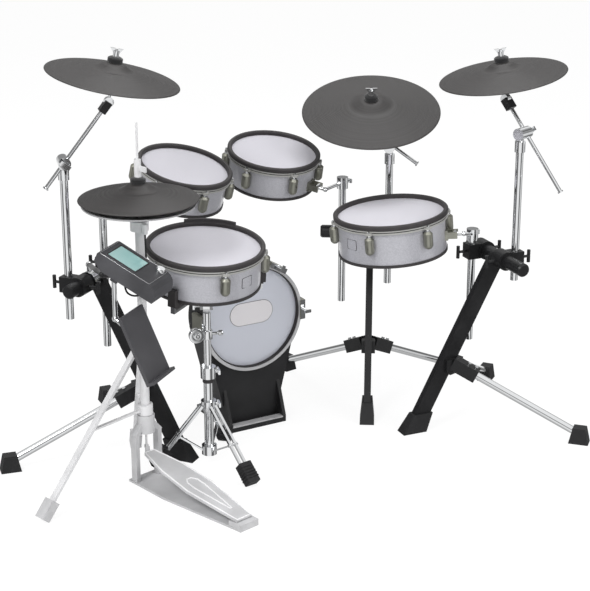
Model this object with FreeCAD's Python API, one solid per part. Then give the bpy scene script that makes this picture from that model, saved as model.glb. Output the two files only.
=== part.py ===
import FreeCAD, Part
import math
import os
from FreeCAD import Placement, Rotation, Vector

os.makedirs("parts", exist_ok=True)

# Driving dimensions, millimetres. +X is the player's right, +Y points at the audience, +Z is up.
# Places are measured from the middle of the player's space; KIT_SHIFT then moves the finished kit so that
# the origin is on the floor under the middle of its outer box.

KIT_SHIFT = Vector(8.5, -1.09, 0)
FIT = 0.05
GAP = 0.3

# Rack: three equal tripod stands, each a leaning leg with a cross bar on top.
LEG_WIDTH = 20.0
LEG_DEPTH = 45.0
LEG_LEAN_RUN = 258.0
BAR_HEIGHT = 495.0
BAR_RADIUS = 19.0
BAR_HALF_LENGTH = 140.0
BAR_CAP_LENGTH = 8.0
HUB_HEIGHT = 190.0
HUB_TALL = 38.0
HUB_WING_LENGTH = 62.0
HUB_WING_THICK = 32.0
HUB_BOLT_SIZE = 5.0
BASE_TUBE_RADIUS = 11.0
BASE_TUBE_WALL = 1.6
BASE_TUBE_REACH = 396.0
BASE_TUBE_SPREAD = 260.0
FOOT_HEIGHT = 46.0
FOOT_TOP = 36.0
FOOT_BOTTOM = 56.0
LEG_FOOT_HEIGHT = 54.0
LEG_FOOT_FLARE = 12.0
LEG_FOOT_WALL = 5.0
LEG_FOOT_SOLE = 10.0
STANDS = {
    "left": (-330.0, -160.0, 156.0),
    "centre": (187.0, 103.0, 87.0),
    "right": (313.0, 24.0, 24.0),
}

# Clamps that hold the upright posts on the cross bars.
CLAMP_LENGTH = 44.0
CLAMP_WALL = 8.0
POST_OFFSET = 38.0
POST_RADIUS = 11.0
POST_WALL = 1.6
CLAMP_SCREW_RADIUS = 4.0
CLAMP_SCREW_LENGTH = 26.0
CLAMP_HANDLE_LENGTH = 36.0
CLAMP_HANDLE_RADIUS = 5.0

# Posts: stand, place along the bar, side of the bar (+1 is away from the player), bottom and top.
POSTS = {
    "crash_left": ("left", 80.0, 1, 395.0, 815.0),
    "tom_high": ("left", -110.0, 1, 250.0, 668.0),
    "tom_mid": ("centre", -85.0, 1, 265.0, 652.0),
    "ride": ("centre", 53.0, 1, 325.0, 725.0),
    "tom_floor": ("right", -75.0, -1, 225.0, 560.0),
    "crash_right": ("right", 36.0, 1, 430.0, 833.0),
}

# Cymbal pads: radius, middle of the edge circle, unit normal, length of boom behind its clamp.
CYMBALS = {
    "crash_left": (178.0, Vector(-496, -107, 1053), Vector(0.189, -0.021, 0.982), 80.0),
    "crash_right": (178.0, Vector(552, 174, 999), Vector(-0.155, -0.05, 0.987), 190.0),
    "ride": (203.0, Vector(200, 414, 845), Vector(-0.02, -0.33, 0.944), 92.0),
}
PAD_THICK = 4.0
PAD_BOW = 22.0
BELL_RADIUS = 56.0
BELL_RISE = 18.0
BELL_TOP_RADIUS = 20.0
PAD_HOLE_RADIUS = 8.0
FELT_RADIUS = 13.0
UPPER_FELT_RADIUS = 20.0
UPPER_FELT_HEIGHT = 17.0
LOWER_FELT_HEIGHT = 8.0
SEAT_BALL_RADIUS = 14.0
SPINDLE_RADIUS = 4.0
WING_NUT_RADIUS = 8.0
WING_NUT_HEIGHT = 13.0
WING_SPAN = 34.0
TILTER_DROP = 62.0
TILTER_RADIUS = 13.0
TILTER_WIDTH = 16.0
BOOM_RADIUS = 5.5
BOOM_CLAMP_RADIUS = 17.0
BOOM_CLAMP_WIDTH = 24.0
BOOM_CLAMP_LIFT = 3.0
BOOM_SCREW_RADIUS = 5.0
BOOM_SCREW_LENGTH = 16.0
COLLAR_HEIGHT = 30.0
COLLAR_WALL = 4.0

# Drums: radius inside the rubber rim, depth, middle of the rim's top, unit normal, first lug, lug count.
DRUMS = {
    "tom_high": (124.5, 105.0, Vector(-333, 202, 744), Vector(0.22, -0.157, 0.963), 0.0, 6),
    "tom_mid": (124.5, 105.0, Vector(-84, 384, 741), Vector(0.114, -0.176, 0.978), 57.0, 6),
    "tom_floor": (149.0, 122.0, Vector(244, 116, 635), Vector(-0.085, -0.003, 0.996), 5.0, 6),
    "snare": (146.0, 112.0, Vector(-258, -185, 631), Vector(0.05, -0.1, 0.994), 4.0, 5),
}
RIM_HEIGHT = 12.0
RIM_OVERHANG = 12.5
RIM_ROUND = 3.0
STRIP_HEIGHT = 8.0
STRIP_START = 61.0
STRIP_SPAN = 54.0
HEAD_THICK = 1.5
HEAD_LAP = 8.0
HOOP_HEIGHT = 11.0
HOOP_THICK = 9.0
HOOP_GROOVE = 4.0
SHELL_PROUD = 2.5
SHELL_WALL = 6.0
EDGE_TRIM_HEIGHT = 8.0
EDGE_TRIM_PROUD = 2.5
COVER_THICK = 3.0
LUG_RADIUS = 13.0
LUG_LENGTH = 32.0
LUG_DROP = 12.0
TENSION_ROD_RADIUS = 3.0
EAR_WIDTH = 18.0
EAR_DEPTH = 14.0
SENSOR_BAR_WIDTH = 26.0
SENSOR_BAR_THICK = 4.0
SENSOR_BAR_DROP = 44.0
SENSOR_CONE_RADIUS = 20.0
SENSOR_CONE_TIP = 7.0

# Tom mounts: drop of the knuckle below the rim's top, and its size.
KNUCKLE_DROP = 76.0
MOUNT_TURN = {"tom_high": 0.0, "tom_mid": -27.0, "tom_floor": -26.0}
TOM_ROD_STRAIGHT = 26.0
KNUCKLE_RADIUS = 9.0
KNUCKLE_LENGTH = 24.0
KNUCKLE_STANDOFF = 24.0
MOUNT_EAR_THICK = 6.0
MOUNT_PLATE_THICK = 5.0
TOM_ROD_RADIUS = 5.25
TOM_BEND_PROUD = 2.0
HOLDER_RADIUS = 17.0
HOLDER_HEIGHT = 34.0

# Snare stand.
SNARE_TUBE_RADIUS = 13.0
SNARE_TUBE_BOTTOM = 34.0
SNARE_TUBE_TOP = 284.0
SNARE_UPPER_RADIUS = 10.0
SNARE_TILT_DROP = 36.0
SNARE_UPPER_INSERT = 150.0
SNARE_WHEEL_RADIUS = 21.0
SNARE_WHEEL_HALF = 9.0
SNARE_SCREW_RADIUS = 5.0
SNARE_LEG_COLLAR_HEIGHT = 172.0
SNARE_BRACE_COLLAR_HEIGHT = 40.0
SNARE_COLLAR_RADIUS = 21.0
SNARE_COLLAR_TALL = 26.0
SNARE_LEG_WIDE = 7.0
SNARE_RAIL_SPREAD = 16.0
SNARE_LEG_THICK = 7.0
SNARE_LEGS = ((-51.0, 190.0), (76.0, 150.0), (195.0, 150.0))
SNARE_FOOT_LENGTH = 52.0
SNARE_FOOT_WIDE = 36.0
SNARE_CLAMP_TALL = 32.0
SNARE_SCREW_TURN = 13.0
SNARE_FOOT_THICK = 28.0
BASKET_DROP = 26.0
BASKET_ARM_WIDE = 12.0
BASKET_ARM_THICK = 8.0
BASKET_GRIP_HEIGHT = 46.0
BASKET_ANGLES = (120.0, 242.0, 16.0)

# Hi-hat and its stand.
HAT_RADIUS = 155.0
HAT_LOWER_RADIUS = 147.0
HAT_X = -420.0
HAT_Y = -290.0
HAT_EDGE_HEIGHT = 780.0
HAT_OPENING = 10.0
HAT_TUBE_RADIUS = 12.0
HAT_TUBE_BOTTOM = 150.0
HAT_ROD_RADIUS = 3.0
HAT_ROD_TOP = 980.0
HAT_SEAT_RADIUS = 24.0
HAT_SEAT_HEIGHT = 26.0
HAT_LEG_TOP = 386.0
HAT_LEGS = ((226.0, 350.0), (104.0, 210.0))
HAT_LEG_WIDE = 18.0
HAT_LEG_THICK = 8.0
HAT_BRACE_HEIGHT = 205.0
PEDAL_ANGLE = -46.0
PEDAL_WIDTH = 88.0
PEDAL_TOE = 12.0
PEDAL_HEEL = 384.0
PEDAL_TOE_HEIGHT = 82.0
PEDAL_HEEL_HEIGHT = 22.0
PEDAL_BOARD_THICK = 7.0
RIB_SHARES = (0.2, 0.32, 0.44, 0.56, 0.68, 0.8)
RIB_RADIUS = 2.0
BOARD_SHAPE = ((0.0, 0.28), (0.45, 0.5), (0.75, 0.42), (1.0, 0.2))
PLATE_SHAPE = ((0.0, 0.52), (0.35, 0.58), (1.0, 0.34))
CLUTCH_RADIUS = 9.0
CLUTCH_TALL = 44.0
PEDAL_PLATE_THICK = 6.0
PEDAL_POST_PLACE = 38.0
PEDAL_POST_WIDE = 22.0
PEDAL_POST_THICK = 12.0
PEDAL_HEAD_RADIUS = 24.0
PEDAL_HEAD_LOW = 140.0
PEDAL_HEAD_TOP = 190.0
LINK_THICK = 4.0
LINK_WIDE = 14.0
LINK_REACH = 22.0

# Kick pad on its tower. Its face looks at the player, turned by KICK_TURN.
KICK_X = -140.0
KICK_Y = 70.0
KICK_TURN = 30.0
KICK_HEIGHT = 328.0
KICK_HEAD_RADIUS = 148.0
KICK_HOOP_THICK = 9.0
KICK_HOOP_DEPTH = 16.0
KICK_BODY_DEPTH = 92.0
KICK_BASE_HALF = 92.0
KICK_BASE_DEPTH = 210.0
KICK_BASE_THICK = 14.0
KICK_CHEEK_THICK = 10.0
KICK_CHEEK_TALL = 66.0
KICK_LIP = 22.0
KICK_WALL = 6.0
KICK_CLAW_ANGLES = (0.0, 60.0, 120.0, 180.0, 240.0, 300.0)

# Sound module on its arm, and the tray under it.
MODULE_CENTRE = Vector(-428, -370, 614)
MODULE_SLOPE_DEG = 26.0
MODULE_TURN = -22.0
MODULE_LENGTH = 186.0
MODULE_WIDTH = 106.0
MODULE_THICK = 44.0
SCREEN_LENGTH = 84.0
SCREEN_WIDTH = 74.0
SCREEN_THICK = 2.0
KNOB_RADIUS = 12.0
KNOB_HEIGHT = 11.0
TRAY_CENTRE = Vector(-407, -390, 423)
TRAY_SLOPE_DEG = 66.0
TRAY_LENGTH = 189.0
TRAY_WIDTH = 120.0
TRAY_THICK = 9.0
TRAY_LIP = 24.0
ARM_RADIUS = 6.5
ARM_CLAMP_PLACE = 35.0
ARM_RISE = 45.0
ARM_STRAIGHT = 45.0
ARM_JOINT_PROUD = 2.5
DROP_PLACE = 12.0
ARM_CLAMP_LENGTH = 26.0
PIVOT_PLACE = -35.0
PIVOT_DEPTH = 16.0
PIVOT_RADIUS = 10.0
PIVOT_HALF = 14.0
TRAY_PIVOT_DEPTH = 14.0
TRAY_PIVOT_RADIUS = 8.0
TRAY_PIVOT_HALF = 12.0
PLUG_RADIUS = 5.5

# Lead from the hi-hat to the module.
LEAD_RADIUS = 2.5
LEAD_BOSS_RADIUS = 7.5
LEAD_STEPS = [
    (1.5, 59.5, 83.0),
    (2.6, 60.2, 36.0),
    (2.0, 59.9, -12.0),
    (1.5, 59.5, -65.9),
    (-13.6, 52.1, -82.7),
    (-34.9, 41.5, -82.7),
    (-49.9, 34.1, -65.9),
    (-49.9, 34.1, -16.1),
]

UP = Vector(0, 0, 1)


def frame_of(origin, z_axis, x_hint):
    """A placement whose local Z follows z_axis and whose local X leans towards x_hint."""
    z = Vector(z_axis).normalize()
    x = Vector(x_hint) - z * z.dot(x_hint)
    x.normalize()
    y = z.cross(x)
    matrix = FreeCAD.Matrix(
        x.x, y.x, z.x, origin.x,
        x.y, y.y, z.y, origin.y,
        x.z, y.z, z.z, origin.z,
        0, 0, 0, 1,
    )
    return Placement(matrix)


def put(shape, placement):
    moved = shape.copy()
    moved.Placement = placement.multiply(moved.Placement)
    return moved


def polar(radius, angle_deg, height=0.0):
    angle = math.radians(angle_deg)
    return Vector(radius * math.cos(angle), radius * math.sin(angle), height)


def rod(start, end, radius):
    return Part.makeCylinder(radius, (end - start).Length, start, end - start)


def pipe(start, end, radius, wall):
    return rod(start, end, radius).cut(rod(start, end, radius - wall))


def ring(outer, inner, bottom, top):
    height = top - bottom
    base = Vector(0, 0, bottom)
    return Part.makeCylinder(outer, height, base).cut(Part.makeCylinder(inner, height, base))


def block(x_size, y_size, z_size, centre=Vector(0, 0, 0)):
    corner = centre - Vector(x_size / 2, y_size / 2, z_size / 2)
    return Part.makeBox(x_size, y_size, z_size, corner)


def strip(start, end, wide, thick, side):
    """A flat bar from start to end: wide along side, thick across it."""
    along = end - start
    bar = block(wide, thick, along.Length, Vector(0, 0, along.Length / 2))
    return put(bar, frame_of(start, along, side))


def turned(points):
    """A solid turned about Z from an outline of (radius, height) points."""
    corners = [Vector(r, 0, z) for r, z in points]
    outline = Part.makePolygon(corners + corners[:1])
    return Part.Face(outline).revolve(Vector(0, 0, 0), UP, 360)


def tapered(bottom_x, bottom_y, top_x, top_y, height, top_shift=Vector(0, 0, 0)):
    """A block that narrows from its bottom rectangle to its top one."""
    def rectangle(x_size, y_size, z, shift):
        corners = [
            Vector(sx * x_size / 2, sy * y_size / 2, z) + shift
            for sx, sy in ((-1, -1), (1, -1), (1, 1), (-1, 1))
        ]
        return Part.makePolygon(corners + corners[:1])
    low = rectangle(bottom_x, bottom_y, 0, Vector(0, 0, 0))
    high = rectangle(top_x, top_y, height, top_shift)
    return Part.makeLoft([low, high], True, True)


def lead_route():
    """Corners of the lead: steps along, across and above the middle of the module."""
    turn = Rotation(UP, MODULE_TURN)
    return [MODULE_CENTRE + turn.multVec(Vector(*step)) for step in LEAD_STEPS]


def save(name, solids):
    shape = solids[0] if len(solids) == 1 else Part.makeCompound(solids)
    shape.translated(KIT_SHIFT).exportStep("parts/%s.step" % name)


# Rack stands. Local frame of a stand: X is the way the leg leans, Y runs along the cross bar.

def stand_frame(name):
    x, y, heading = STANDS[name]
    return Placement(Vector(x, y, 0), Rotation(UP, heading))


def leg_axis():
    return Vector(LEG_LEAN_RUN, 0, BAR_HEIGHT).normalize()


def cross_bar():
    """Round bar on top of the leg."""
    middle = Vector(LEG_LEAN_RUN, 0, BAR_HEIGHT)
    half = Vector(0, BAR_HALF_LENGTH, 0)
    return rod(middle - half, middle + half, BAR_RADIUS)


def leg_solid():
    """The leaning leg, ended where it is welded to the cross bar."""
    along = leg_axis()
    start = along * (LEG_FOOT_SOLE / along.z)
    end = Vector(LEG_LEAN_RUN, 0, BAR_HEIGHT)
    leg = strip(start, end, LEG_DEPTH, LEG_WIDTH, Vector(1, 0, 0))
    floor_cut = block(400, 400, 100, Vector(0, 0, LEG_FOOT_SOLE - 50))
    return leg.cut(floor_cut).cut(cross_bar())


def bar_cap(side):
    """Rounded plug on one end of the cross bar."""
    dome = turned([
        (0, 0), (BAR_RADIUS, 0), (BAR_RADIUS, BAR_CAP_LENGTH * 0.4),
        (BAR_RADIUS * 0.8, BAR_CAP_LENGTH), (0, BAR_CAP_LENGTH),
    ])
    end = Vector(LEG_LEAN_RUN, side * BAR_HALF_LENGTH, BAR_HEIGHT)
    return put(dome, frame_of(end, Vector(0, side, 0), Vector(1, 0, 0)))


def leg_foot():
    """Flared rubber boot on the lower end of the leg."""
    along = leg_axis()
    long_side = LEG_DEPTH / along.z + 2 * LEG_FOOT_WALL
    short_side = LEG_WIDTH + 2 * LEG_FOOT_WALL
    lean = Vector(along.x / along.z * LEG_FOOT_HEIGHT, 0, 0)
    boot = tapered(
        long_side + LEG_FOOT_FLARE, short_side + LEG_FOOT_FLARE,
        long_side, short_side, LEG_FOOT_HEIGHT, lean,
    )
    return boot.cut(leg_solid())


def base_tube_ends(side):
    along = leg_axis()
    start_x = HUB_HEIGHT * along.x / along.z + LEG_DEPTH * 0.75
    start = Vector(start_x, side * LEG_WIDTH, HUB_HEIGHT)
    end = Vector(BASE_TUBE_REACH, side * BASE_TUBE_SPREAD, FOOT_HEIGHT * 0.55)
    return start, end


def base_tube(side):
    start, end = base_tube_ends(side)
    return pipe(start, end, BASE_TUBE_RADIUS, BASE_TUBE_WALL)


def hub():
    """Casting behind the leg in three pieces: a core, and a bored wing for each base tube."""
    middle_x = base_tube_ends(1)[0].x - LEG_DEPTH * 0.3
    pieces = [block(LEG_DEPTH, LEG_WIDTH * 2, HUB_TALL, Vector(middle_x, 0, HUB_HEIGHT))]
    for side in (-1, 1):
        start, end = base_tube_ends(side)
        along = (end - start).normalize()
        tip = start + along * HUB_WING_LENGTH
        level = Vector(-along.y, along.x, 0)
        wing = strip(start - along * HUB_WING_THICK * 0.45, tip, HUB_WING_THICK, HUB_TALL, level)
        pieces.append(wing.cut(pieces))
    room = leg_solid().fuse([rod(*base_tube_ends(side), BASE_TUBE_RADIUS + FIT) for side in (-1, 1)])
    return [piece.cut(room) for piece in pieces]


def hub_bolts():
    bolts = []
    for side in (-1, 1):
        start, end = base_tube_ends(side)
        along = (end - start).normalize()
        for share in (0.45, 0.8):
            normal = along.cross(Vector(-along.y, along.x, 0)).normalize()
            seat = start + along * (HUB_WING_LENGTH * share) + normal * (HUB_TALL / 2)
            bolts.append(rod(seat, seat + normal * HUB_BOLT_SIZE, HUB_BOLT_SIZE))
    return bolts


def base_foot(side):
    """Rubber wedge on the end of a base tube."""
    start, end = base_tube_ends(side)
    heading = math.degrees(math.atan2(end.y - start.y, end.x - start.x))
    wedge = tapered(FOOT_BOTTOM, FOOT_BOTTOM * 0.72, FOOT_TOP, FOOT_TOP * 0.9, FOOT_HEIGHT)
    placed = put(wedge, Placement(Vector(end.x, end.y, 0), Rotation(UP, heading)))
    return placed.cut(rod(start, end, BASE_TUBE_RADIUS))


legs, caps, hubs, bolts, tubes, feet = [], [], [], [], [], []
for stand in STANDS:
    at = stand_frame(stand)
    legs += [put(leg_solid(), at), put(cross_bar(), at)]
    hubs += [put(piece, at) for piece in hub()]
    feet.append(put(leg_foot(), at))
    bolts += [put(bolt, at) for bolt in hub_bolts()]
    for side in (-1, 1):
        caps.append(put(bar_cap(side), at))
        tubes.append(put(base_tube(side), at))
        feet.append(put(base_foot(side), at))
save("rack_legs", legs + caps)
save("rack_hubs", hubs + bolts)
save("rack_base_tubes", tubes)


# Clamps and posts. A clamp grips the bar and holds an upright post beside it.

def bar_point(stand, place, side, height):
    """A point beside the cross bar; place runs along the bar, towards the player at the sides."""
    sign = -1 if stand == "right" or stand == "centre" else 1
    local = Vector(LEG_LEAN_RUN + side * POST_OFFSET, sign * place, height)
    return stand_frame(stand).multVec(local)


def clamp(stand, place, side):
    """Split block round the bar, bored upright for the post, with its two T screws."""
    sign = -1 if stand == "right" or stand == "centre" else 1
    outer = BAR_RADIUS + CLAMP_WALL
    grip = rod(
        Vector(0, -CLAMP_LENGTH / 2, 0), Vector(0, CLAMP_LENGTH / 2, 0), outer,
    )
    reach = POST_OFFSET + POST_RADIUS + CLAMP_WALL
    jaw = block(reach, POST_RADIUS * 2 + CLAMP_WALL * 2, outer * 1.6, Vector(side * reach / 2, 0, 0))
    body = grip.fuse(jaw).removeSplitter()
    bar_bore = rod(Vector(0, -CLAMP_LENGTH, 0), Vector(0, CLAMP_LENGTH, 0), BAR_RADIUS + FIT)
    post_axis = Vector(side * POST_OFFSET, 0, -100)
    post_bore = rod(post_axis, post_axis + UP * 200, POST_RADIUS + FIT)
    body = body.cut(bar_bore).cut(post_bore)
    screws = []
    for direction, seat in (
        (Vector(-side, 0, 0), Vector(-side * outer, 0, 0)),
        (Vector(side, 0, 0), Vector(side * reach, 0, 0)),
    ):
        head = seat + direction * CLAMP_SCREW_LENGTH
        half = Vector(0, 0, CLAMP_HANDLE_LENGTH / 2)
        handle = rod(head - half, head + half, CLAMP_HANDLE_RADIUS)
        screws.append(rod(seat, head, CLAMP_SCREW_RADIUS).fuse(handle).removeSplitter())
    local = Placement(Vector(LEG_LEAN_RUN, sign * place, BAR_HEIGHT), Rotation())
    at = stand_frame(stand).multiply(local)
    return put(body, at), [put(screw, at) for screw in screws]


clamps, screws = [], []
for stand, place, side, bottom, top in POSTS.values():
    body, pair = clamp(stand, place, side)
    clamps.append(body)
    screws += pair
save("rack_clamps", clamps + screws)


# Cymbals: post, boom with its clamp, tilter with spindle and wing nut, and the pad with its felts.

def bell_top():
    return PAD_THICK + PAD_BOW + BELL_RISE


def pad_solid(radius):
    """Pad with a bow, a bell and a hole, and a felt washer above and below."""
    rise = PAD_BOW + PAD_THICK
    bell_side = BELL_RADIUS * 0.82
    top = [
        (radius, 0), (radius, PAD_THICK * 0.6), (radius * 0.72, PAD_THICK + PAD_BOW * 0.42),
        (BELL_RADIUS, rise), (bell_side, rise + BELL_RISE * 0.55),
        (BELL_TOP_RADIUS, bell_top()), (PAD_HOLE_RADIUS, bell_top()),
    ]
    under = [
        (PAD_HOLE_RADIUS, bell_top() - PAD_THICK), (BELL_TOP_RADIUS, bell_top() - PAD_THICK),
        (bell_side - PAD_THICK, rise + BELL_RISE * 0.55 - PAD_THICK),
        (BELL_RADIUS, PAD_BOW), (radius * 0.72, PAD_BOW * 0.42),
    ]
    return turned(top + under)


def swing_height():
    """Height of the point the pad rocks about: the middle of the ball seat under the lower felt."""
    low = bell_top() - PAD_THICK - LOWER_FELT_HEIGHT
    return low - math.sqrt(SEAT_BALL_RADIUS ** 2 - FELT_RADIUS ** 2)


def nut_ball_radius():
    """Radius about the rocking point at which the upper felt ends under the wing nut."""
    return math.hypot(bell_top() + UPPER_FELT_HEIGHT - swing_height(), PAD_HOLE_RADIUS)


def pad_felts():
    """Felts with ball shaped outer faces, so that the pad can rock between cup and wing nut."""
    rock = Vector(0, 0, swing_height())
    upper = ring(UPPER_FELT_RADIUS, PAD_HOLE_RADIUS, bell_top(), bell_top() + UPPER_FELT_HEIGHT * 1.5)
    lower_top = bell_top() - PAD_THICK
    lower = ring(FELT_RADIUS, PAD_HOLE_RADIUS, lower_top - LOWER_FELT_HEIGHT, lower_top)
    upper = upper.common(Part.makeSphere(nut_ball_radius(), rock))
    return [upper, lower.cut(Part.makeSphere(SEAT_BALL_RADIUS + GAP, rock))]


def spindle():
    """Threaded spindle with the ball seat under the lower felt, and the wing nut over the upper one."""
    rock = Vector(0, 0, swing_height())
    nut_bottom = swing_height() + nut_ball_radius()
    nut_top = nut_bottom + WING_NUT_HEIGHT
    base = Vector(0, 0, -TILTER_DROP + TILTER_RADIUS * 0.6)
    shaft = rod(base, Vector(0, 0, nut_top + SPINDLE_RADIUS), SPINDLE_RADIUS)
    seat = Part.makeSphere(SEAT_BALL_RADIUS, rock, UP, 0, 90, 360)
    nut = Part.makeCylinder(WING_NUT_RADIUS, WING_NUT_HEIGHT * 1.5, Vector(0, 0, nut_top - WING_NUT_HEIGHT * 1.5))
    wings = tapered(WING_SPAN * 0.5, 4, WING_SPAN, 3, WING_NUT_HEIGHT)
    wings = put(wings, Placement(Vector(0, 0, nut_top - WING_NUT_HEIGHT * 0.5), Rotation()))
    room = Part.makeSphere(nut_ball_radius() + GAP, rock)
    room = room.fuse(Part.makeCylinder(SPINDLE_RADIUS, 400, Vector(0, 0, -200)))
    return shaft.fuse(seat).removeSplitter(), nut.fuse(wings).cut(room).removeSplitter()


def cymbal_frame(name):
    radius, middle, normal, tail = CYMBALS[name]
    return frame_of(middle, normal, Vector(1, 0, 0))


def boom_points(name):
    """Knuckle on the post, boom clamp beside it, tilter, and the directions of boom and hinge."""
    stand, place, side, bottom, top = POSTS[name]
    knuckle_at = bar_point(stand, place, side, top + BOOM_CLAMP_RADIUS + BOOM_CLAMP_LIFT)
    tilter_at = cymbal_frame(name).multVec(Vector(0, 0, -TILTER_DROP))
    reach = tilter_at - knuckle_at
    offset = BOOM_CLAMP_WIDTH + GAP
    turn = math.asin(offset / math.hypot(reach.x, reach.y))
    heading = math.atan2(reach.y, reach.x) + turn
    hinge = Vector(math.sin(heading), -math.cos(heading), 0)
    clamp_at = knuckle_at + hinge * offset
    along = (tilter_at - clamp_at).normalize()
    return knuckle_at, clamp_at, tilter_at, along, hinge


def wing_screw(seat, direction, up):
    """Screw with a flat wing on its end."""
    end = seat + direction * BOOM_SCREW_LENGTH
    wing = block(BOOM_SCREW_RADIUS, BOOM_SCREW_RADIUS * 6, BOOM_SCREW_RADIUS * 2.4)
    wing = put(wing, frame_of(end, up, direction))
    return rod(seat, end, BOOM_SCREW_RADIUS).fuse(wing).removeSplitter()


for name in CYMBALS:
    radius, tail = CYMBALS[name][0], CYMBALS[name][3]
    stand, place, side, bottom, top = POSTS[name]
    knuckle_at, clamp_at, tilter_at, along, hinge = boom_points(name)
    low = bar_point(stand, place, side, bottom)
    high = bar_point(stand, place, side, top)
    half = hinge * (BOOM_CLAMP_WIDTH / 2)
    tube = pipe(low, high - UP * COLLAR_WALL, POST_RADIUS, POST_WALL)
    collar = rod(high - UP * COLLAR_HEIGHT, high, POST_RADIUS + COLLAR_WALL)
    collar = collar.cut(rod(low, high - UP * COLLAR_WALL, POST_RADIUS))
    knuckle = rod(knuckle_at - half, knuckle_at + half, BOOM_CLAMP_RADIUS)
    neck = rod(high - UP * COLLAR_WALL * 0.5, knuckle_at, POST_RADIUS * 0.85)
    save(name + "_post", [tube, collar.fuse([neck, knuckle]).removeSplitter()])

    barrel = rod(clamp_at - half, clamp_at + half, BOOM_CLAMP_RADIUS)
    boom_start = clamp_at - along * tail
    boom_end = tilter_at - along * (TILTER_RADIUS + GAP)
    boom = rod(boom_start, boom_end, BOOM_RADIUS)
    stop = rod(boom_start - along * COLLAR_WALL, boom_start, BOOM_RADIUS * 1.5)
    fork = strip(boom_end - along * TILTER_RADIUS * 1.5, tilter_at, TILTER_WIDTH + 12, TILTER_RADIUS * 1.5, hinge)
    slot_half = hinge * (TILTER_WIDTH / 2 + GAP)
    slot = rod(tilter_at - slot_half, tilter_at + slot_half, TILTER_RADIUS + GAP)
    boom_solid = boom.fuse([barrel, stop, fork.cut(slot)]).removeSplitter()
    save(name + "_boom", [boom_solid, wing_screw(clamp_at + half, hinge, along)])

    at = cymbal_frame(name)
    shaft, nut = spindle()
    wheel = rod(tilter_at - hinge * (TILTER_WIDTH / 2),
                tilter_at + hinge * (TILTER_WIDTH / 2), TILTER_RADIUS)
    save(name + "_tilter", [put(shaft, at).fuse(wheel).removeSplitter(), put(nut, at)])
    save(name + "_pad", [put(solid, at) for solid in [pad_solid(radius)] + pad_felts()])


# Drums. Local frame of a drum: origin in the middle of the rim's top, Z along its normal.

def drum_frame(name):
    middle, normal = DRUMS[name][2:4]
    return frame_of(middle, normal, Vector(1, 0, 0))


def shell_radius(name):
    return DRUMS[name][0] + SHELL_PROUD


def stack_heights(name):
    """Heights of the rim's underside, the head's underside and the shell's lower end."""
    rim_low = -RIM_HEIGHT
    head_low = rim_low - HEAD_THICK
    return rim_low, head_low, -DRUMS[name][1]


def drum_shell(name):
    outer = shell_radius(name)
    rim_low, head_low, bottom = stack_heights(name)
    return ring(outer, outer - SHELL_WALL, bottom + EDGE_TRIM_HEIGHT, head_low)


def drum_rims(name):
    """Rubber rim over the hoop, and the cover with its guard lip that closes the shell below."""
    inner = DRUMS[name][0]
    outer = inner + RIM_OVERHANG
    rim_low, head_low, bottom = stack_heights(name)
    rim = turned([
        (inner, rim_low), (outer, rim_low), (outer, -RIM_ROUND), (outer - RIM_ROUND, 0),
        (inner + RIM_ROUND, 0), (inner, -RIM_ROUND),
    ])
    shell = shell_radius(name)
    guard = Part.makeCylinder(shell + EDGE_TRIM_PROUD, EDGE_TRIM_HEIGHT, Vector(0, 0, bottom))
    guard = guard.cut(Part.makeCylinder(shell - SHELL_WALL, EDGE_TRIM_HEIGHT, Vector(0, 0, bottom + COVER_THICK)))
    return [rim, guard]


def rim_strip(name):
    """Raised rubber strip on the far side of the rim, for rim shots."""
    inner = DRUMS[name][0] + RIM_ROUND
    outer = DRUMS[name][0] + RIM_OVERHANG - RIM_ROUND
    origin = Vector(0, 0, 0)
    sector = Part.makeCylinder(outer, STRIP_HEIGHT, origin, UP, STRIP_SPAN)
    sector = sector.cut(Part.makeCylinder(inner, STRIP_HEIGHT, origin))
    return put(sector, Placement(origin, Rotation(UP, STRIP_START)))


def drum_head(name):
    rim_low, head_low, bottom = stack_heights(name)
    return Part.makeCylinder(DRUMS[name][0] + HEAD_LAP, HEAD_THICK, Vector(0, 0, head_low))


def drum_hoop(name):
    """Metal hoop under the rubber rim, with an ear over each lug."""
    rim_low, head_low, bottom = stack_heights(name)
    inner = shell_radius(name) + GAP
    outer = inner + HOOP_THICK
    low = head_low - HOOP_HEIGHT
    hoop = turned([
        (inner, low), (outer - HOOP_GROOVE / 4, low), (outer - HOOP_GROOVE / 4, low + HOOP_HEIGHT * 0.45),
        (outer - HOOP_GROOVE, low + HOOP_HEIGHT * 0.45), (outer - HOOP_GROOVE, low + HOOP_HEIGHT * 0.7),
        (outer, low + HOOP_HEIGHT * 0.7), (outer, head_low), (inner, head_low),
    ])
    ears = []
    lug_at = lug_axis_radius(name)
    for angle in lug_angles(name):
        ear = block(EAR_DEPTH, EAR_WIDTH, HOOP_HEIGHT * 0.6,
                    Vector(lug_at - 1, 0, head_low - HOOP_HEIGHT * 0.7))
        ears.append(put(ear, Placement(Vector(0, 0, 0), Rotation(UP, angle))))
    room = Part.makeCylinder(inner, 200, Vector(0, 0, -150))
    return hoop.fuse(ears).cut(room).removeSplitter()


def lug_angles(name):
    first, count = DRUMS[name][4:]
    return [first + 360.0 / count * i for i in range(count)]


def lug_axis_radius(name):
    return shell_radius(name) + LUG_RADIUS * 0.8


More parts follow.
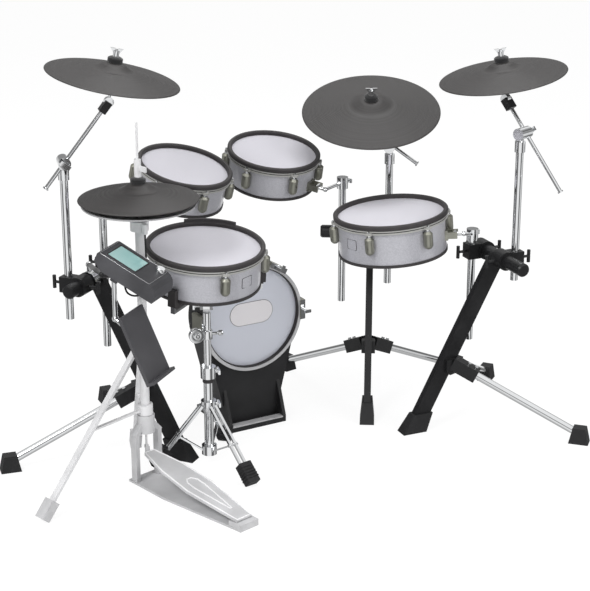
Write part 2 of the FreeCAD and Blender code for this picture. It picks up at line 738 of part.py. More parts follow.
def drum_lugs(name):
    """Bullet shaped lugs on the shell, each with its tension rod up to the hoop's ear."""
    rim_low, head_low, bottom = stack_heights(name)
    lug_top = head_low - HOOP_HEIGHT - LUG_DROP
    ear_bottom = head_low - HOOP_HEIGHT
    shell = Part.makeCylinder(shell_radius(name), 300, Vector(0, 0, -250))
    solids = []
    for angle in lug_angles(name):
        axis = polar(lug_axis_radius(name), angle)
        barrel = Part.makeCylinder(LUG_RADIUS, LUG_LENGTH, axis + Vector(0, 0, lug_top - LUG_LENGTH))
        tip = Part.makeSphere(LUG_RADIUS, axis + Vector(0, 0, lug_top - LUG_LENGTH))
        neck = Part.makeCone(LUG_RADIUS, LUG_RADIUS * 0.55, 6, axis + Vector(0, 0, lug_top))
        solids.append(barrel.fuse([tip, neck]).cut(shell).removeSplitter())
        rod_low = axis + Vector(0, 0, lug_top + 6)
        solids.append(rod(rod_low, axis + Vector(0, 0, ear_bottom), TENSION_ROD_RADIUS))
    return solids


def drum_sensor(name):
    """Cross bar inside the shell, with the foam cone that touches the head."""
    inner = shell_radius(name) - SHELL_WALL - FIT
    rim_low, head_low, bottom = stack_heights(name)
    top = -SENSOR_BAR_DROP
    bar = block(inner * 2 + 10, SENSOR_BAR_WIDTH, SENSOR_BAR_THICK, Vector(0, 0, top - SENSOR_BAR_THICK / 2))
    bar = bar.common(Part.makeCylinder(inner, 300, Vector(0, 0, -250)))
    cone_height = head_low - GAP - top
    cone = Part.makeCone(SENSOR_CONE_RADIUS, SENSOR_CONE_TIP, cone_height, Vector(0, 0, top))
    return [bar, cone]


def knuckle_place(name):
    """Angle of a tom's mount in the drum's frame, and the knuckle's centre there."""
    at = drum_frame(name)
    stand, place, side, bottom, top = POSTS[name]
    toward = at.inverse().multVec(bar_point(stand, place, side, top))
    angle = math.degrees(math.atan2(toward.y, toward.x)) + MOUNT_TURN[name]
    radius = shell_radius(name) + KNUCKLE_STANDOFF
    return angle, polar(radius, angle, -KNUCKLE_DROP)


def tom_mount(name):
    """Plate on the shell with two ears that hold the knuckle of the post's rod."""
    angle, centre = knuckle_place(name)
    shell = shell_radius(name)
    reach = KNUCKLE_STANDOFF + KNUCKLE_RADIUS
    wide = KNUCKLE_LENGTH + 2 * (MOUNT_EAR_THICK + GAP)
    tall = KNUCKLE_RADIUS * 2 + 10
    plate = block(MOUNT_PLATE_THICK + 6, wide, tall, Vector(shell + MOUNT_PLATE_THICK / 2 - 1, 0, 0))
    ears = []
    for side in (-1, 1):
        middle = side * (KNUCKLE_LENGTH / 2 + GAP + MOUNT_EAR_THICK / 2)
        ears.append(block(reach, MOUNT_EAR_THICK, KNUCKLE_RADIUS * 2, Vector(shell + reach / 2, middle, 0)))
    mount = plate.fuse(ears).cut(Part.makeCylinder(shell, 300, Vector(0, 0, -150)))
    local = Placement(Vector(0, 0, centre.z), Rotation(UP, angle))
    return put(mount.removeSplitter(), local)


def tom_post(name):
    """Post tube, the holder on its top, and the rod with the knuckle that carries the drum."""
    stand, place, side, bottom, top = POSTS[name]
    low = bar_point(stand, place, side, bottom)
    high = bar_point(stand, place, side, top)
    holder_low = high - UP * HOLDER_HEIGHT
    tube = pipe(low, high - UP * 4, POST_RADIUS, POST_WALL)
    holder = rod(holder_low, high, HOLDER_RADIUS)
    holder = holder.cut(rod(low, high - UP * 4, POST_RADIUS))
    at = drum_frame(name)
    angle, centre = knuckle_place(name)
    knuckle_at = at.multVec(centre)
    tangent = at.Rotation.multVec(polar(1, angle + 90))
    half = tangent * (KNUCKLE_LENGTH / 2)
    knuckle = rod(knuckle_at - half, knuckle_at + half, KNUCKLE_RADIUS)
    rod_root = high - UP * (HOLDER_HEIGHT / 2)
    outward = at.Rotation.multVec(polar(1, angle))
    elbow = knuckle_at + outward * TOM_ROD_STRAIGHT
    arm = rod(rod_root, elbow, TOM_ROD_RADIUS)
    arm = arm.cut(rod(holder_low - UP * 40, high + UP * 40, HOLDER_RADIUS))
    bend = Part.makeSphere(TOM_ROD_RADIUS + TOM_BEND_PROUD, elbow)
    straight = rod(elbow, knuckle_at, TOM_ROD_RADIUS).cut([bend, knuckle])
    away = rod_root - elbow
    away = Vector(away.x, away.y, 0).normalize()
    screw = wing_screw(rod_root + away * (HOLDER_RADIUS - BOOM_SCREW_RADIUS), away, UP)
    screw = screw.cut(rod(holder_low, high, HOLDER_RADIUS))
    return [tube, holder, arm.cut([bend, straight]), bend, straight, knuckle, screw]


for name in DRUMS:
    at = drum_frame(name)
    metal = [drum_hoop(name)] + drum_lugs(name)
    if name in POSTS:
        metal.append(tom_mount(name))
        save(name + "_post", tom_post(name))
    save(name + "_shell", [put(drum_shell(name), at)])
    rims = drum_rims(name)
    if name == "snare":
        rims.append(rim_strip(name))
    save(name + "_rims", [put(solid, at) for solid in rims])
    save(name + "_head", [put(drum_head(name), at)])
    save(name + "_hardware", [put(solid, at) for solid in metal])
    save(name + "_sensor", [put(solid, at) for solid in drum_sensor(name)])


# Snare stand: tripod with braces, upper tube with the tilter, and the basket that grips the drum.

SNARE_FOOT = Vector(DRUMS["snare"][2].x, DRUMS["snare"][2].y, 0)


def snare_leg_ends(angle, reach):
    start = SNARE_FOOT + polar(SNARE_COLLAR_RADIUS - 2, angle, SNARE_LEG_COLLAR_HEIGHT)
    return start, SNARE_FOOT + polar(reach, angle, SNARE_FOOT_THICK / 2)


def snare_rails(angle, reach):
    """The two rails of one leg."""
    start, end = snare_leg_ends(angle, reach)
    side = polar(1, angle + 90)
    shifts = (side * (-SNARE_RAIL_SPREAD / 2), side * (SNARE_RAIL_SPREAD / 2))
    return [strip(start + s, end + s, SNARE_LEG_WIDE, SNARE_LEG_THICK, side) for s in shifts]


def snare_tripod():
    """Lower tube with its clamp, the leg collars with a wing screw each, the paired rails and their braces."""
    axis = SNARE_FOOT
    tube = pipe(axis + UP * SNARE_TUBE_BOTTOM, axis + UP * SNARE_TUBE_TOP,
                SNARE_TUBE_RADIUS, SNARE_TUBE_RADIUS - SNARE_UPPER_RADIUS - FIT)
    core = rod(axis, axis + UP * SNARE_TUBE_TOP, SNARE_TUBE_RADIUS)
    collars = []
    for height, tall in ((SNARE_LEG_COLLAR_HEIGHT, SNARE_COLLAR_TALL), (SNARE_BRACE_COLLAR_HEIGHT, SNARE_COLLAR_TALL),
                         (SNARE_TUBE_TOP - SNARE_CLAMP_TALL / 2, SNARE_CLAMP_TALL)):
        middle = axis + UP * height
        collars.append(rod(middle - UP * (tall / 2), middle + UP * (tall / 2), SNARE_COLLAR_RADIUS))
    fitted = [collar.cut(core) for collar in collars]
    screws = []
    toward = polar(1, SNARE_SCREW_TURN)
    for collar in (collars[0], collars[2]):
        seat = Vector(axis.x, axis.y, collar.CenterOfMass.z) + toward * SNARE_TUBE_RADIUS
        screws.append(wing_screw(seat, toward, UP).cut([collar, core]))
    parts = []
    for angle, reach in SNARE_LEGS:
        side = polar(1, angle + 90)
        start, end = snare_leg_ends(angle, reach)
        rails = [rail.cut([collars[0], core]) for rail in snare_rails(angle, reach)]
        brace_from = axis + polar(SNARE_COLLAR_RADIUS - 2, angle, SNARE_BRACE_COLLAR_HEIGHT)
        brace_to = start + (end - start) * 0.52
        brace = strip(brace_from, brace_to, SNARE_RAIL_SPREAD - SNARE_LEG_WIDE, SNARE_LEG_THICK * 0.7, side)
        pin_half = side * (SNARE_RAIL_SPREAD / 2 + SNARE_LEG_WIDE)
        pin = rod(brace_to - pin_half, brace_to + pin_half, SNARE_LEG_THICK * 0.6)
        rails = [rail.cut(pin) for rail in rails]
        parts += rails + [pin, brace.cut([collars[1], core, pin] + rails)]
    return [tube] + fitted + screws + parts


def snare_feet():
    feet = []
    floor_cut = block(2000, 2000, 100, Vector(SNARE_FOOT.x, SNARE_FOOT.y, -50))
    for angle, reach in SNARE_LEGS:
        side = polar(1, angle + 90)
        start, end = snare_leg_ends(angle, reach)
        along = (end - start).normalize()
        boot = strip(end - along * SNARE_FOOT_LENGTH, end + along * 8, SNARE_FOOT_WIDE, SNARE_FOOT_THICK, side)
        feet.append(boot.cut(floor_cut).cut(snare_rails(angle, reach)))
    return feet


def basket_hub_point():
    at = drum_frame("snare")
    return at.multVec(Vector(0, 0, -DRUMS["snare"][1] - BASKET_DROP))


def snare_tilt_point():
    """Middle of the tilter's wheel, on the stand's axis below the basket's hub."""
    return SNARE_FOOT + UP * (basket_hub_point().z - SNARE_TILT_DROP)


def snare_upper():
    """Upper tube that slides in the tripod's, with the tilter's wheel and its wing bolt."""
    tilt = snare_tilt_point()
    low = SNARE_FOOT + UP * (SNARE_TUBE_TOP - SNARE_UPPER_INSERT)
    half = Vector(SNARE_WHEEL_HALF, 0, 0)
    tube = rod(low, tilt - UP * (SNARE_WHEEL_RADIUS - 1), SNARE_UPPER_RADIUS)
    wheel = rod(tilt - half, tilt + half, SNARE_WHEEL_RADIUS)
    end = tilt - half - Vector(23, 0, 0)
    wing = rod(tilt - half, end, SNARE_SCREW_RADIUS)
    handle = block(5, 34, 13, end - Vector(2, 0, 0))
    return [tube.fuse(wheel).removeSplitter(), wing.fuse(handle).removeSplitter()]


def snare_basket():
    """Fork over the tilter's wheel, and three arms with rubber grips on the shell's lower edge."""
    at = drum_frame("snare")
    bottom = -DRUMS["snare"][1] - BASKET_DROP
    tilt = snare_tilt_point()
    hub_at = basket_hub_point()
    ears = []
    for side in (-1, 1):
        x = side * (SNARE_WHEEL_HALF + GAP + 4)
        ears.append(strip(tilt + Vector(x, 0, -12), hub_at + Vector(x, 0, 0), 8, 24, Vector(1, 0, 0)))
    screw_room = rod(tilt - Vector(60, 0, 0), tilt, SNARE_SCREW_RADIUS + GAP)
    hub = put(Part.makeCylinder(24, 16, Vector(0, 0, bottom - 8)), at)
    room_half = Vector(SNARE_WHEEL_HALF + GAP, 0, 0)
    wheel_room = rod(tilt - room_half, tilt + room_half, SNARE_WHEEL_RADIUS + GAP)
    fork = hub.fuse(ears).cut(wheel_room).cut(screw_room).removeSplitter()
    outer = shell_radius("snare") + EDGE_TRIM_PROUD + GAP
    arms = []
    for angle in BASKET_ANGLES:
        side = polar(1, angle + 90)
        start = polar(18, angle, bottom)
        end = polar(outer + BASKET_ARM_THICK / 2, angle, bottom)
        top = polar(outer + BASKET_ARM_THICK / 2, angle, -DRUMS["snare"][1] + BASKET_GRIP_HEIGHT * 0.3)
        arm = strip(start, end, BASKET_ARM_WIDE, BASKET_ARM_THICK, side)
        riser = strip(end - UP * (BASKET_ARM_THICK / 2), top, BASKET_ARM_WIDE, BASKET_ARM_THICK, side)
        arms += [put(arm.cut(riser), at).cut(fork), put(riser, at)]
    return [fork] + arms


def snare_grips():
    """Rubber grips on the basket's arms: a shelf under the drum and a sleeve up its side."""
    at = drum_frame("snare")
    depth = DRUMS["snare"][1]
    outer = shell_radius("snare") + EDGE_TRIM_PROUD
    basket = snare_basket()
    grips = []
    for angle in BASKET_ANGLES:
        shelf = block(26, BASKET_ARM_WIDE + 10, 12, Vector(outer - 4, 0, -depth - 6))
        wall = block(15, BASKET_ARM_WIDE + 10, BASKET_GRIP_HEIGHT,
                     Vector(outer + 8, 0, -depth - 8 + BASKET_GRIP_HEIGHT / 2))
        grip = shelf.fuse(wall).cut(Part.makeCylinder(outer + FIT, depth, Vector(0, 0, -depth)))
        grip = put(grip, at.multiply(Placement(Vector(0, 0, 0), Rotation(UP, angle))))
        grips.append(grip.cut(basket).removeSplitter())
    return grips


save("snare_tripod", snare_tripod())
save("stand_feet", feet + snare_feet())
save("snare_upper", snare_upper())
save("snare_basket", snare_basket())
save("snare_grips", snare_grips())


# Hi-hat: stand with two legs and a pedal, lower pad on its seat, upper pad on the pull rod.

HAT_AXIS = Vector(HAT_X, HAT_Y, 0)


def hat_lower_top():
    return HAT_EDGE_HEIGHT - HAT_OPENING


def hat_seat_top():
    return hat_lower_top() - PAD_THICK - PAD_BOW - BELL_RISE


def hat_stand():
    """Tube with the seat on top and the cast frame of the pedal below."""
    bottom = HAT_AXIS + UP * HAT_TUBE_BOTTOM
    top = HAT_AXIS + UP * (hat_seat_top() - HAT_SEAT_HEIGHT)
    tube = pipe(bottom, top, HAT_TUBE_RADIUS, HAT_TUBE_RADIUS - HAT_ROD_RADIUS - 1)
    seat = pipe(top, top + UP * HAT_SEAT_HEIGHT, HAT_SEAT_RADIUS, HAT_SEAT_RADIUS - HAT_ROD_RADIUS - 1)
    collar = pipe(HAT_AXIS + UP * (HAT_LEG_TOP - 20), HAT_AXIS + UP * (HAT_LEG_TOP + 20),
                  HAT_TUBE_RADIUS + 10, 10)
    brace_collar = pipe(HAT_AXIS + UP * (HAT_BRACE_HEIGHT - 14), HAT_AXIS + UP * (HAT_BRACE_HEIGHT + 14),
                        HAT_TUBE_RADIUS + 8, 8)
    lead_top = hat_seat_top() - GAP * 10
    lead_from = lead_route()[0]
    boss = rod(lead_from, Vector(lead_from.x, lead_from.y, lead_top), LEAD_BOSS_RADIUS)
    seat = seat.fuse(boss.cut(rod(bottom, top + UP * 200, HAT_SEAT_RADIUS - 4))).removeSplitter()
    return [tube, seat, collar, brace_collar]


def hat_legs():
    legs = []
    for angle, reach in HAT_LEGS:
        side = polar(1, angle + 90)
        start = HAT_AXIS + polar(HAT_TUBE_RADIUS + 10, angle, HAT_LEG_TOP)
        end = HAT_AXIS + polar(reach, angle, 14)
        leg = strip(start, end, HAT_LEG_WIDE, HAT_LEG_THICK, side)
        leg = leg.cut(rod(HAT_AXIS, HAT_AXIS + UP * hat_seat_top(), HAT_TUBE_RADIUS + 10))
        brace_to = start + (end - start) * 0.5
        brace_from = HAT_AXIS + polar(HAT_TUBE_RADIUS + 8, angle, HAT_BRACE_HEIGHT)
        brace = strip(brace_from, brace_to, HAT_LEG_WIDE * 0.6, HAT_LEG_THICK * 0.6, side)
        brace = brace.cut(leg).cut(rod(HAT_AXIS, HAT_AXIS + UP * hat_seat_top(), HAT_TUBE_RADIUS + 8))
        along = (end - start).normalize()
        boot = strip(end - along * 46, end + along * 8, HAT_LEG_WIDE + 12, 28, side)
        boot = boot.cut(block(2000, 2000, 100, Vector(HAT_X, HAT_Y, -50))).cut(leg)
        legs += [leg, brace, boot]
    return legs


def waisted(start, run, shape, thick):
    """Plate along a run; the shape gives its half width, in pedal widths, at shares of the run."""
    half = [(start + run * share, Vector(0, PEDAL_WIDTH * wide, 0)) for share, wide in shape]
    corners = [at - wide for at, wide in half] + [at + wide for at, wide in reversed(half)]
    return Part.Face(Part.makePolygon(corners + corners[:1])).extrude(thick)


def pedal_frame():
    """Base plate, heel block, and two uprights that carry the head round the stand's tube."""
    plate_length = PEDAL_HEEL + PEDAL_WIDTH / 2
    plate = waisted(Vector(-PEDAL_WIDTH / 4, 0, 0), Vector(plate_length, 0, 0), PLATE_SHAPE, UP * PEDAL_PLATE_THICK)
    heel_top = PEDAL_HEEL_HEIGHT - PEDAL_BOARD_THICK / 2 - GAP
    heel = block(PEDAL_WIDTH / 2, PEDAL_WIDTH * 0.7, heel_top, Vector(PEDAL_HEEL, 0, heel_top / 2))
    uprights = []
    for side in (-1, 1):
        shoulder = Vector(0, side * PEDAL_POST_PLACE, PEDAL_HEAD_LOW)
        low = Vector(0, shoulder.y, PEDAL_PLATE_THICK / 2)
        high = Vector(0, side * PEDAL_HEAD_RADIUS * 0.7, (PEDAL_HEAD_LOW + PEDAL_HEAD_TOP) / 2)
        lean = (high - shoulder).normalize() * (PEDAL_POST_THICK / 2)
        post = strip(low, shoulder, PEDAL_POST_WIDE, PEDAL_POST_THICK, Vector(1, 0, 0))
        brow = strip(shoulder - lean, high, PEDAL_POST_WIDE, PEDAL_POST_THICK, Vector(1, 0, 0))
        uprights += [post, brow.cut(post)]
    head_tall = PEDAL_HEAD_TOP - PEDAL_HEAD_LOW
    head = Part.makeCylinder(PEDAL_HEAD_RADIUS, head_tall, Vector(0, 0, PEDAL_HEAD_LOW))
    uprights = [upright.cut([plate, head]) for upright in uprights]
    head = head.cut(Part.makeCylinder(HAT_TUBE_RADIUS, head_tall * 2, Vector(0, 0, HAT_TUBE_BOTTOM)))
    head = head.cut(Part.makeCylinder(HAT_ROD_RADIUS * 3, head_tall, Vector(0, 0, PEDAL_HEAD_LOW - GAP)))
    return [put(solid, pedal_place()) for solid in [plate, heel.cut(plate), head] + uprights]


def pedal_place():
    return Placement(HAT_AXIS, Rotation(UP, PEDAL_ANGLE))


def board_ends():
    return Vector(PEDAL_HEEL, 0, PEDAL_HEEL_HEIGHT), Vector(PEDAL_TOE, 0, PEDAL_TOE_HEIGHT)


def footboard():
    """Sloping board, widest under the ball of the foot and hinged at the heel, with grip ribs across it."""
    heel, toe = board_ends()
    up = Vector(0, 1, 0).cross((toe - heel).normalize()) * -1
    board = waisted(heel - up * (PEDAL_BOARD_THICK / 2), toe - heel, BOARD_SHAPE, up * PEDAL_BOARD_THICK)
    across = Vector(0, PEDAL_WIDTH * BOARD_SHAPE[0][1], 0)
    pin = rod(heel - across, heel + across, PEDAL_BOARD_THICK / 2)
    ribs = []
    for share in RIB_SHARES:
        foot = heel + (toe - heel) * share + up * (PEDAL_BOARD_THICK / 2)
        ribs.append(rod(foot - across * 0.8, foot + across * 0.8, RIB_RADIUS))
    return put(board.fuse([pin] + ribs).removeSplitter(), pedal_place())


def pull_rod():
    """Pull rod with its clutch on the upper pad, and the strap that hooks under the footboard's toe."""
    rod_low = PEDAL_TOE_HEIGHT + PEDAL_BOARD_THICK + LINK_THICK
    shaft = rod(UP * rod_low, UP * HAT_ROD_TOP, HAT_ROD_RADIUS)
    pad_top = HAT_EDGE_HEIGHT + bell_top()
    clutch_low = UP * (HAT_EDGE_HEIGHT + swing_height() + nut_ball_radius())
    clutch = rod(clutch_low, clutch_low + UP * CLUTCH_TALL, CLUTCH_RADIUS)
    felt_room = Part.makeSphere(nut_ball_radius(), UP * (HAT_EDGE_HEIGHT + swing_height()))
    sleeve = rod(clutch_low - UP * LINK_THICK, clutch_low, CLUTCH_RADIUS).cut(felt_room)
    wing = block(CLUTCH_RADIUS * 3.4, 5, CLUTCH_RADIUS * 1.5, clutch_low + Vector(CLUTCH_RADIUS * 2, 0, CLUTCH_TALL / 2))
    nut_top = UP * (pad_top - PAD_THICK - LOWER_FELT_HEIGHT)
    nut = rod(nut_top - UP * CLUTCH_RADIUS, nut_top, FELT_RADIUS + LINK_THICK / 4)
    collar = rod(UP * rod_low, UP * (rod_low + LINK_WIDE / 2), HAT_ROD_RADIUS * 2)
    heel, toe = board_ends()
    slope = (toe.z - heel.z) / (heel.x - toe.x)
    hook_x = HAT_ROD_RADIUS / 2
    under = toe.z - slope * (hook_x + LINK_REACH - toe.x) - PEDAL_BOARD_THICK * 0.6 - LINK_THICK
    hook = block(LINK_REACH, LINK_WIDE, LINK_THICK, Vector(hook_x + LINK_REACH / 2, 0, under))
    strap_tall = rod_low - under + LINK_THICK
    strap = block(LINK_THICK, LINK_WIDE, strap_tall,
                  Vector(hook_x + LINK_THICK / 2, 0, under - LINK_THICK / 2 + strap_tall / 2))
    solids = [clutch, sleeve, wing, nut, collar, strap, hook]
    return put(shaft.fuse(solids).removeSplitter(), pedal_place())


def hat_upper():
    at = Placement(HAT_AXIS + UP * HAT_EDGE_HEIGHT, Rotation())
    return [put(solid, at) for solid in [pad_solid(HAT_RADIUS)] + pad_felts()]


def hat_lower():
    at = Placement(HAT_AXIS + UP * hat_lower_top(), Rotation(Vector(1, 0, 0), 180))
    return put(pad_solid(HAT_LOWER_RADIUS), at)


save("hihat_stand", hat_stand() + hat_legs() + pedal_frame())
save("hihat_footboard", [footboard()])
save("hihat_pull_rod", [pull_rod()])
save("hihat_upper_pad", hat_upper())
save("hihat_lower_pad", [hat_lower()])


# Kick pad. Local frame: X runs along the face, Y points away from the player.

def kick_place():
    return Placement(Vector(KICK_X, KICK_Y, 0), Rotation(UP, KICK_TURN))


def kick_cylinder(radius, near, far):
    return Part.makeCylinder(radius, far - near, Vector(0, near, KICK_HEIGHT), Vector(0, 1, 0))


def kick_tower():
    """Moulded tower: a pan for the pad, a tapering neck and a base with cheeks beside the pedal plate."""
    pan_radius = KICK_HEAD_RADIUS + KICK_HOOP_THICK - 4
    near = KICK_HOOP_DEPTH
    far = near + KICK_BODY_DEPTH
    pan = kick_cylinder(pan_radius, near, far)
    half_high = pan_radius * 0.985
    outline = [
        Vector(-KICK_BASE_HALF, near, 0), Vector(KICK_BASE_HALF, near, 0),
        Vector(KICK_BASE_HALF, near, KICK_CHEEK_TALL), Vector(half_high, near, KICK_HEIGHT - 30),
        Vector(-half_high, near, KICK_HEIGHT - 30), Vector(-KICK_BASE_HALF, near, KICK_CHEEK_TALL),
    ]
    neck = Part.Face(Part.makePolygon(outline + outline[:1])).extrude(Vector(0, KICK_BODY_DEPTH, 0))
    base_from = -KICK_LIP
    base = block(KICK_BASE_HALF * 2, KICK_BASE_DEPTH, KICK_BASE_THICK,
                 Vector(0, base_from + KICK_BASE_DEPTH / 2, KICK_BASE_THICK / 2))
    cheeks = []
    for side in (-1, 1):
        x = side * (KICK_BASE_HALF - KICK_CHEEK_THICK / 2)
        corners = [
            Vector(x - KICK_CHEEK_THICK / 2, base_from, 0), Vector(x - KICK_CHEEK_THICK / 2, near, 0),
            Vector(x - KICK_CHEEK_THICK / 2, near, KICK_CHEEK_TALL * 1.8),
            Vector(x - KICK_CHEEK_THICK / 2, base_from, KICK_CHEEK_TALL * 0.3),
        ]
        face = Part.Face(Part.makePolygon(corners + corners[:1]))
        cheeks.append(face.extrude(Vector(KICK_CHEEK_THICK, 0, 0)))
    hollow = kick_cylinder(pan_radius - KICK_WALL, near - 1, far - KICK_WALL)
    neck = neck.cut(pan).cut(base)
    solids = [pan.cut(hollow), neck, base] + [cheek.cut([base, neck, pan]) for cheek in cheeks]
    return [put(solid, kick_place()) for solid in solids]


def kick_hoop():
    """Metal hoop with claws and their wing screws round the pad."""
    outer = KICK_HEAD_RADIUS + KICK_HOOP_THICK
    hoop = kick_cylinder(outer, 0, KICK_HOOP_DEPTH - HEAD_THICK)
    hoop = hoop.cut(kick_cylinder(KICK_HEAD_RADIUS, -1, KICK_HOOP_DEPTH))
    solids = [hoop]
    pan_radius = KICK_HEAD_RADIUS + KICK_HOOP_THICK - 4
    keep_out = kick_cylinder(outer, -1, KICK_HOOP_DEPTH).fuse(
        kick_cylinder(pan_radius, -1, KICK_BODY_DEPTH + 60))
    tower = kick_tower()
    for angle in KICK_CLAW_ANGLES:
        if 200 < angle < 340:
            continue
        claw = block(15, 62, 58, Vector(outer + 2, 26, 0))
        screw = Part.makeCylinder(3.5, 22, Vector(outer + 6, -5, 0), Vector(0, -1, 0))
        wing = block(20, 4, 9, Vector(outer + 6, -26, 0))
        turn = Placement(Vector(0, 0, KICK_HEIGHT), Rotation(Vector(0, 1, 0), -angle))
        body = put(claw, turn).cut(keep_out)
        solids.append(body.fuse([put(screw, turn), put(wing, turn)]).removeSplitter())
    return [put(solids[0], kick_place())] + [put(s, kick_place()).cut(tower) for s in solids[1:]]


def kick_head():
    return put(kick_cylinder(KICK_HEAD_RADIUS + 5, KICK_HOOP_DEPTH - HEAD_THICK, KICK_HOOP_DEPTH), kick_place())


def kick_sensor():
    """Foam block and its plate inside the pan, against the head."""
    near = KICK_HOOP_DEPTH + GAP
    back = KICK_HOOP_DEPTH + KICK_BODY_DEPTH - KICK_WALL
    foam = Part.makeCone(34, 26, back - 6 - near, Vector(0, back - 6, KICK_HEIGHT), Vector(0, -1, 0))
    plate = block(120, 6, 60, Vector(0, back - 3, KICK_HEIGHT))
    return [put(foam, kick_place()), put(plate, kick_place())]


def kick_pedal_plate():
    """Metal edge where the player's own pedal clamps on."""
    inside = KICK_BASE_HALF * 2 - KICK_CHEEK_THICK * 2
    plate = block(inside, KICK_LIP, 4, Vector(0, -KICK_LIP / 2, KICK_BASE_THICK + 2))
    return put(plate, kick_place())


save("kick_tower", kick_tower())
save("kick_hoop", kick_hoop())
save("kick_head", [kick_head()])
save("kick_sensor", kick_sensor())
save("kick_pedal_plate", [kick_pedal_plate()])


# Sound module, its arm on the left bar, and the tray that hangs under it.

def sloped_frame(centre, slope_deg):
    """Local X runs down the slope towards the player, local Y across it, local Z is its face."""
    turn = Rotation(UP, MODULE_TURN)
    tilt = Rotation(Vector(0, 1, 0), slope_deg)
    return Placement(centre, turn.multiply(tilt))


def module_case():
    """Wedge shaped case with a recess for the screen."""
    x = MODULE_LENGTH / 2
    z = MODULE_THICK / 2
    side = [
        Vector(-x, 0, -z * 0.3), Vector(-x * 0.7, 0, -z), Vector(x * 0.97, 0, -z), Vector(x, 0, -z * 0.75),
        Vector(x * 0.97, 0, -z * 0.1), Vector(x * 0.9, 0, z * 0.5), Vector(x * 0.8, 0, z * 0.86),
        Vector(x * 0.69, 0, z), Vector(-x * 0.94, 0, z), Vector(-x, 0, z * 0.8),
    ]
    face = Part.Face(Part.makePolygon(side + side[:1]))
    case = face.extrude(Vector(0, MODULE_WIDTH, 0))
    case = put(case, Placement(Vector(0, -MODULE_WIDTH / 2, 0), Rotation()))
    recess = block(SCREEN_LENGTH + 0.2, SCREEN_WIDTH + 0.2, SCREEN_THICK, screen_centre())
    shift = Placement(Vector(PIVOT_PLACE, 0, 0), Rotation())
    cheeks = [put(c, shift) for c in pivot_lugs(PIVOT_DEPTH, PIVOT_RADIUS, PIVOT_HALF, -MODULE_THICK / 2)]
    return case.cut(recess).fuse(cheeks).removeSplitter()


def lead_plug():
    """Upright plug under the module; the lead goes in from below."""
    end = lead_route()[-1]
    plug = rod(end, end + UP * MODULE_THICK, PLUG_RADIUS)
    return plug.cut(put(module_case(), module_at)).Solids[0]


def screen_centre():
    return Vector(-MODULE_LENGTH * 0.16, 0, MODULE_THICK / 2 - SCREEN_THICK / 2)


def knob_base():
    return Vector(MODULE_LENGTH * 0.27, MODULE_WIDTH * 0.3, MODULE_THICK / 2)


module_at = sloped_frame(MODULE_CENTRE, MODULE_SLOPE_DEG)
tray_at = sloped_frame(TRAY_CENTRE, TRAY_SLOPE_DEG)
save("module_screen", [put(block(SCREEN_LENGTH, SCREEN_WIDTH, SCREEN_THICK, screen_centre()), module_at)])
knob = turned([
    (0, GAP), (KNOB_RADIUS, GAP), (KNOB_RADIUS, KNOB_HEIGHT * 0.75),
    (KNOB_RADIUS * 0.85, KNOB_HEIGHT), (0, KNOB_HEIGHT),
])
save("module_knob", [put(put(knob, Placement(knob_base(), Rotation())), module_at)])


def arm_points():
    stand = stand_frame("left")
    bar_at = stand.multVec(Vector(LEG_LEAN_RUN, ARM_CLAMP_PLACE, BAR_HEIGHT))
    pivot = module_at.multVec(Vector(PIVOT_PLACE, 0, -MODULE_THICK / 2 - PIVOT_DEPTH))
    return bar_at, pivot


def level_heading():
    """The way the module's slope falls, on the level."""
    return Rotation(UP, MODULE_TURN).multVec(Vector(1, 0, 0))


def module_arm():
    """Clamp on the bar, the bent arm to the module's pivot and the drop rod to the tray."""
    bar_at, pivot = arm_points()
    along = stand_frame("left").Rotation.multVec(Vector(0, 1, 0))
    half = along * (ARM_CLAMP_LENGTH / 2)
    grip = rod(bar_at - half, bar_at + half, BAR_RADIUS + CLAMP_WALL)
    bore = rod(bar_at - along * CLAMP_LENGTH, bar_at + along * CLAMP_LENGTH, BAR_RADIUS + FIT)
    axis = module_at.Rotation.multVec(Vector(0, 1, 0))
    barrel = rod(pivot - axis * PIVOT_HALF, pivot + axis * PIVOT_HALF, PIVOT_RADIUS)
    drop_top, drop_low, tray_pivot = tray_rod_points()
    tray_half = axis * TRAY_PIVOT_HALF
    tray_barrel = rod(tray_pivot - tray_half, tray_pivot + tray_half, TRAY_PIVOT_RADIUS)
    riser_top = bar_at + UP * ARM_RISE
    behind = pivot - level_heading() * ARM_STRAIGHT
    joints = [Part.makeSphere(ARM_RADIUS + ARM_JOINT_PROUD, at) for at in (riser_top, behind, drop_low)]
    rods = [
        rod(bar_at, riser_top, ARM_RADIUS), rod(riser_top, behind, ARM_RADIUS), rod(behind, pivot, ARM_RADIUS),
        rod(drop_top, drop_low, ARM_RADIUS), rod(drop_low, tray_pivot, ARM_RADIUS),
    ]
    solids = [grip.cut(bore)]
    for piece in [barrel, tray_barrel] + joints + rods:
        solids.append(piece.cut(solids + [bore]))
    return solids


def tray_rod_points():
    bar_at, pivot = arm_points()
    drop_top = pivot - level_heading() * DROP_PLACE
    tray_pivot = tray_at.multVec(Vector(-TRAY_LENGTH * 0.2, 0, -TRAY_THICK / 2 - TRAY_PIVOT_DEPTH))
    return drop_top, Vector(drop_top.x, drop_top.y, tray_pivot.z + 30), tray_pivot


def pivot_lugs(depth, radius, half_length, bottom):
    """Two cheeks under a panel that hold the arm's barrel."""
    cheeks = []
    for side in (-1, 1):
        y = side * (half_length + GAP + 3)
        cheeks.append(block(radius * 2, 6, depth + radius, Vector(0, y, bottom - (depth + radius) / 2)))
    return cheeks


save("module_case", [put(module_case(), module_at), lead_plug()])
save("module_arm", module_arm())


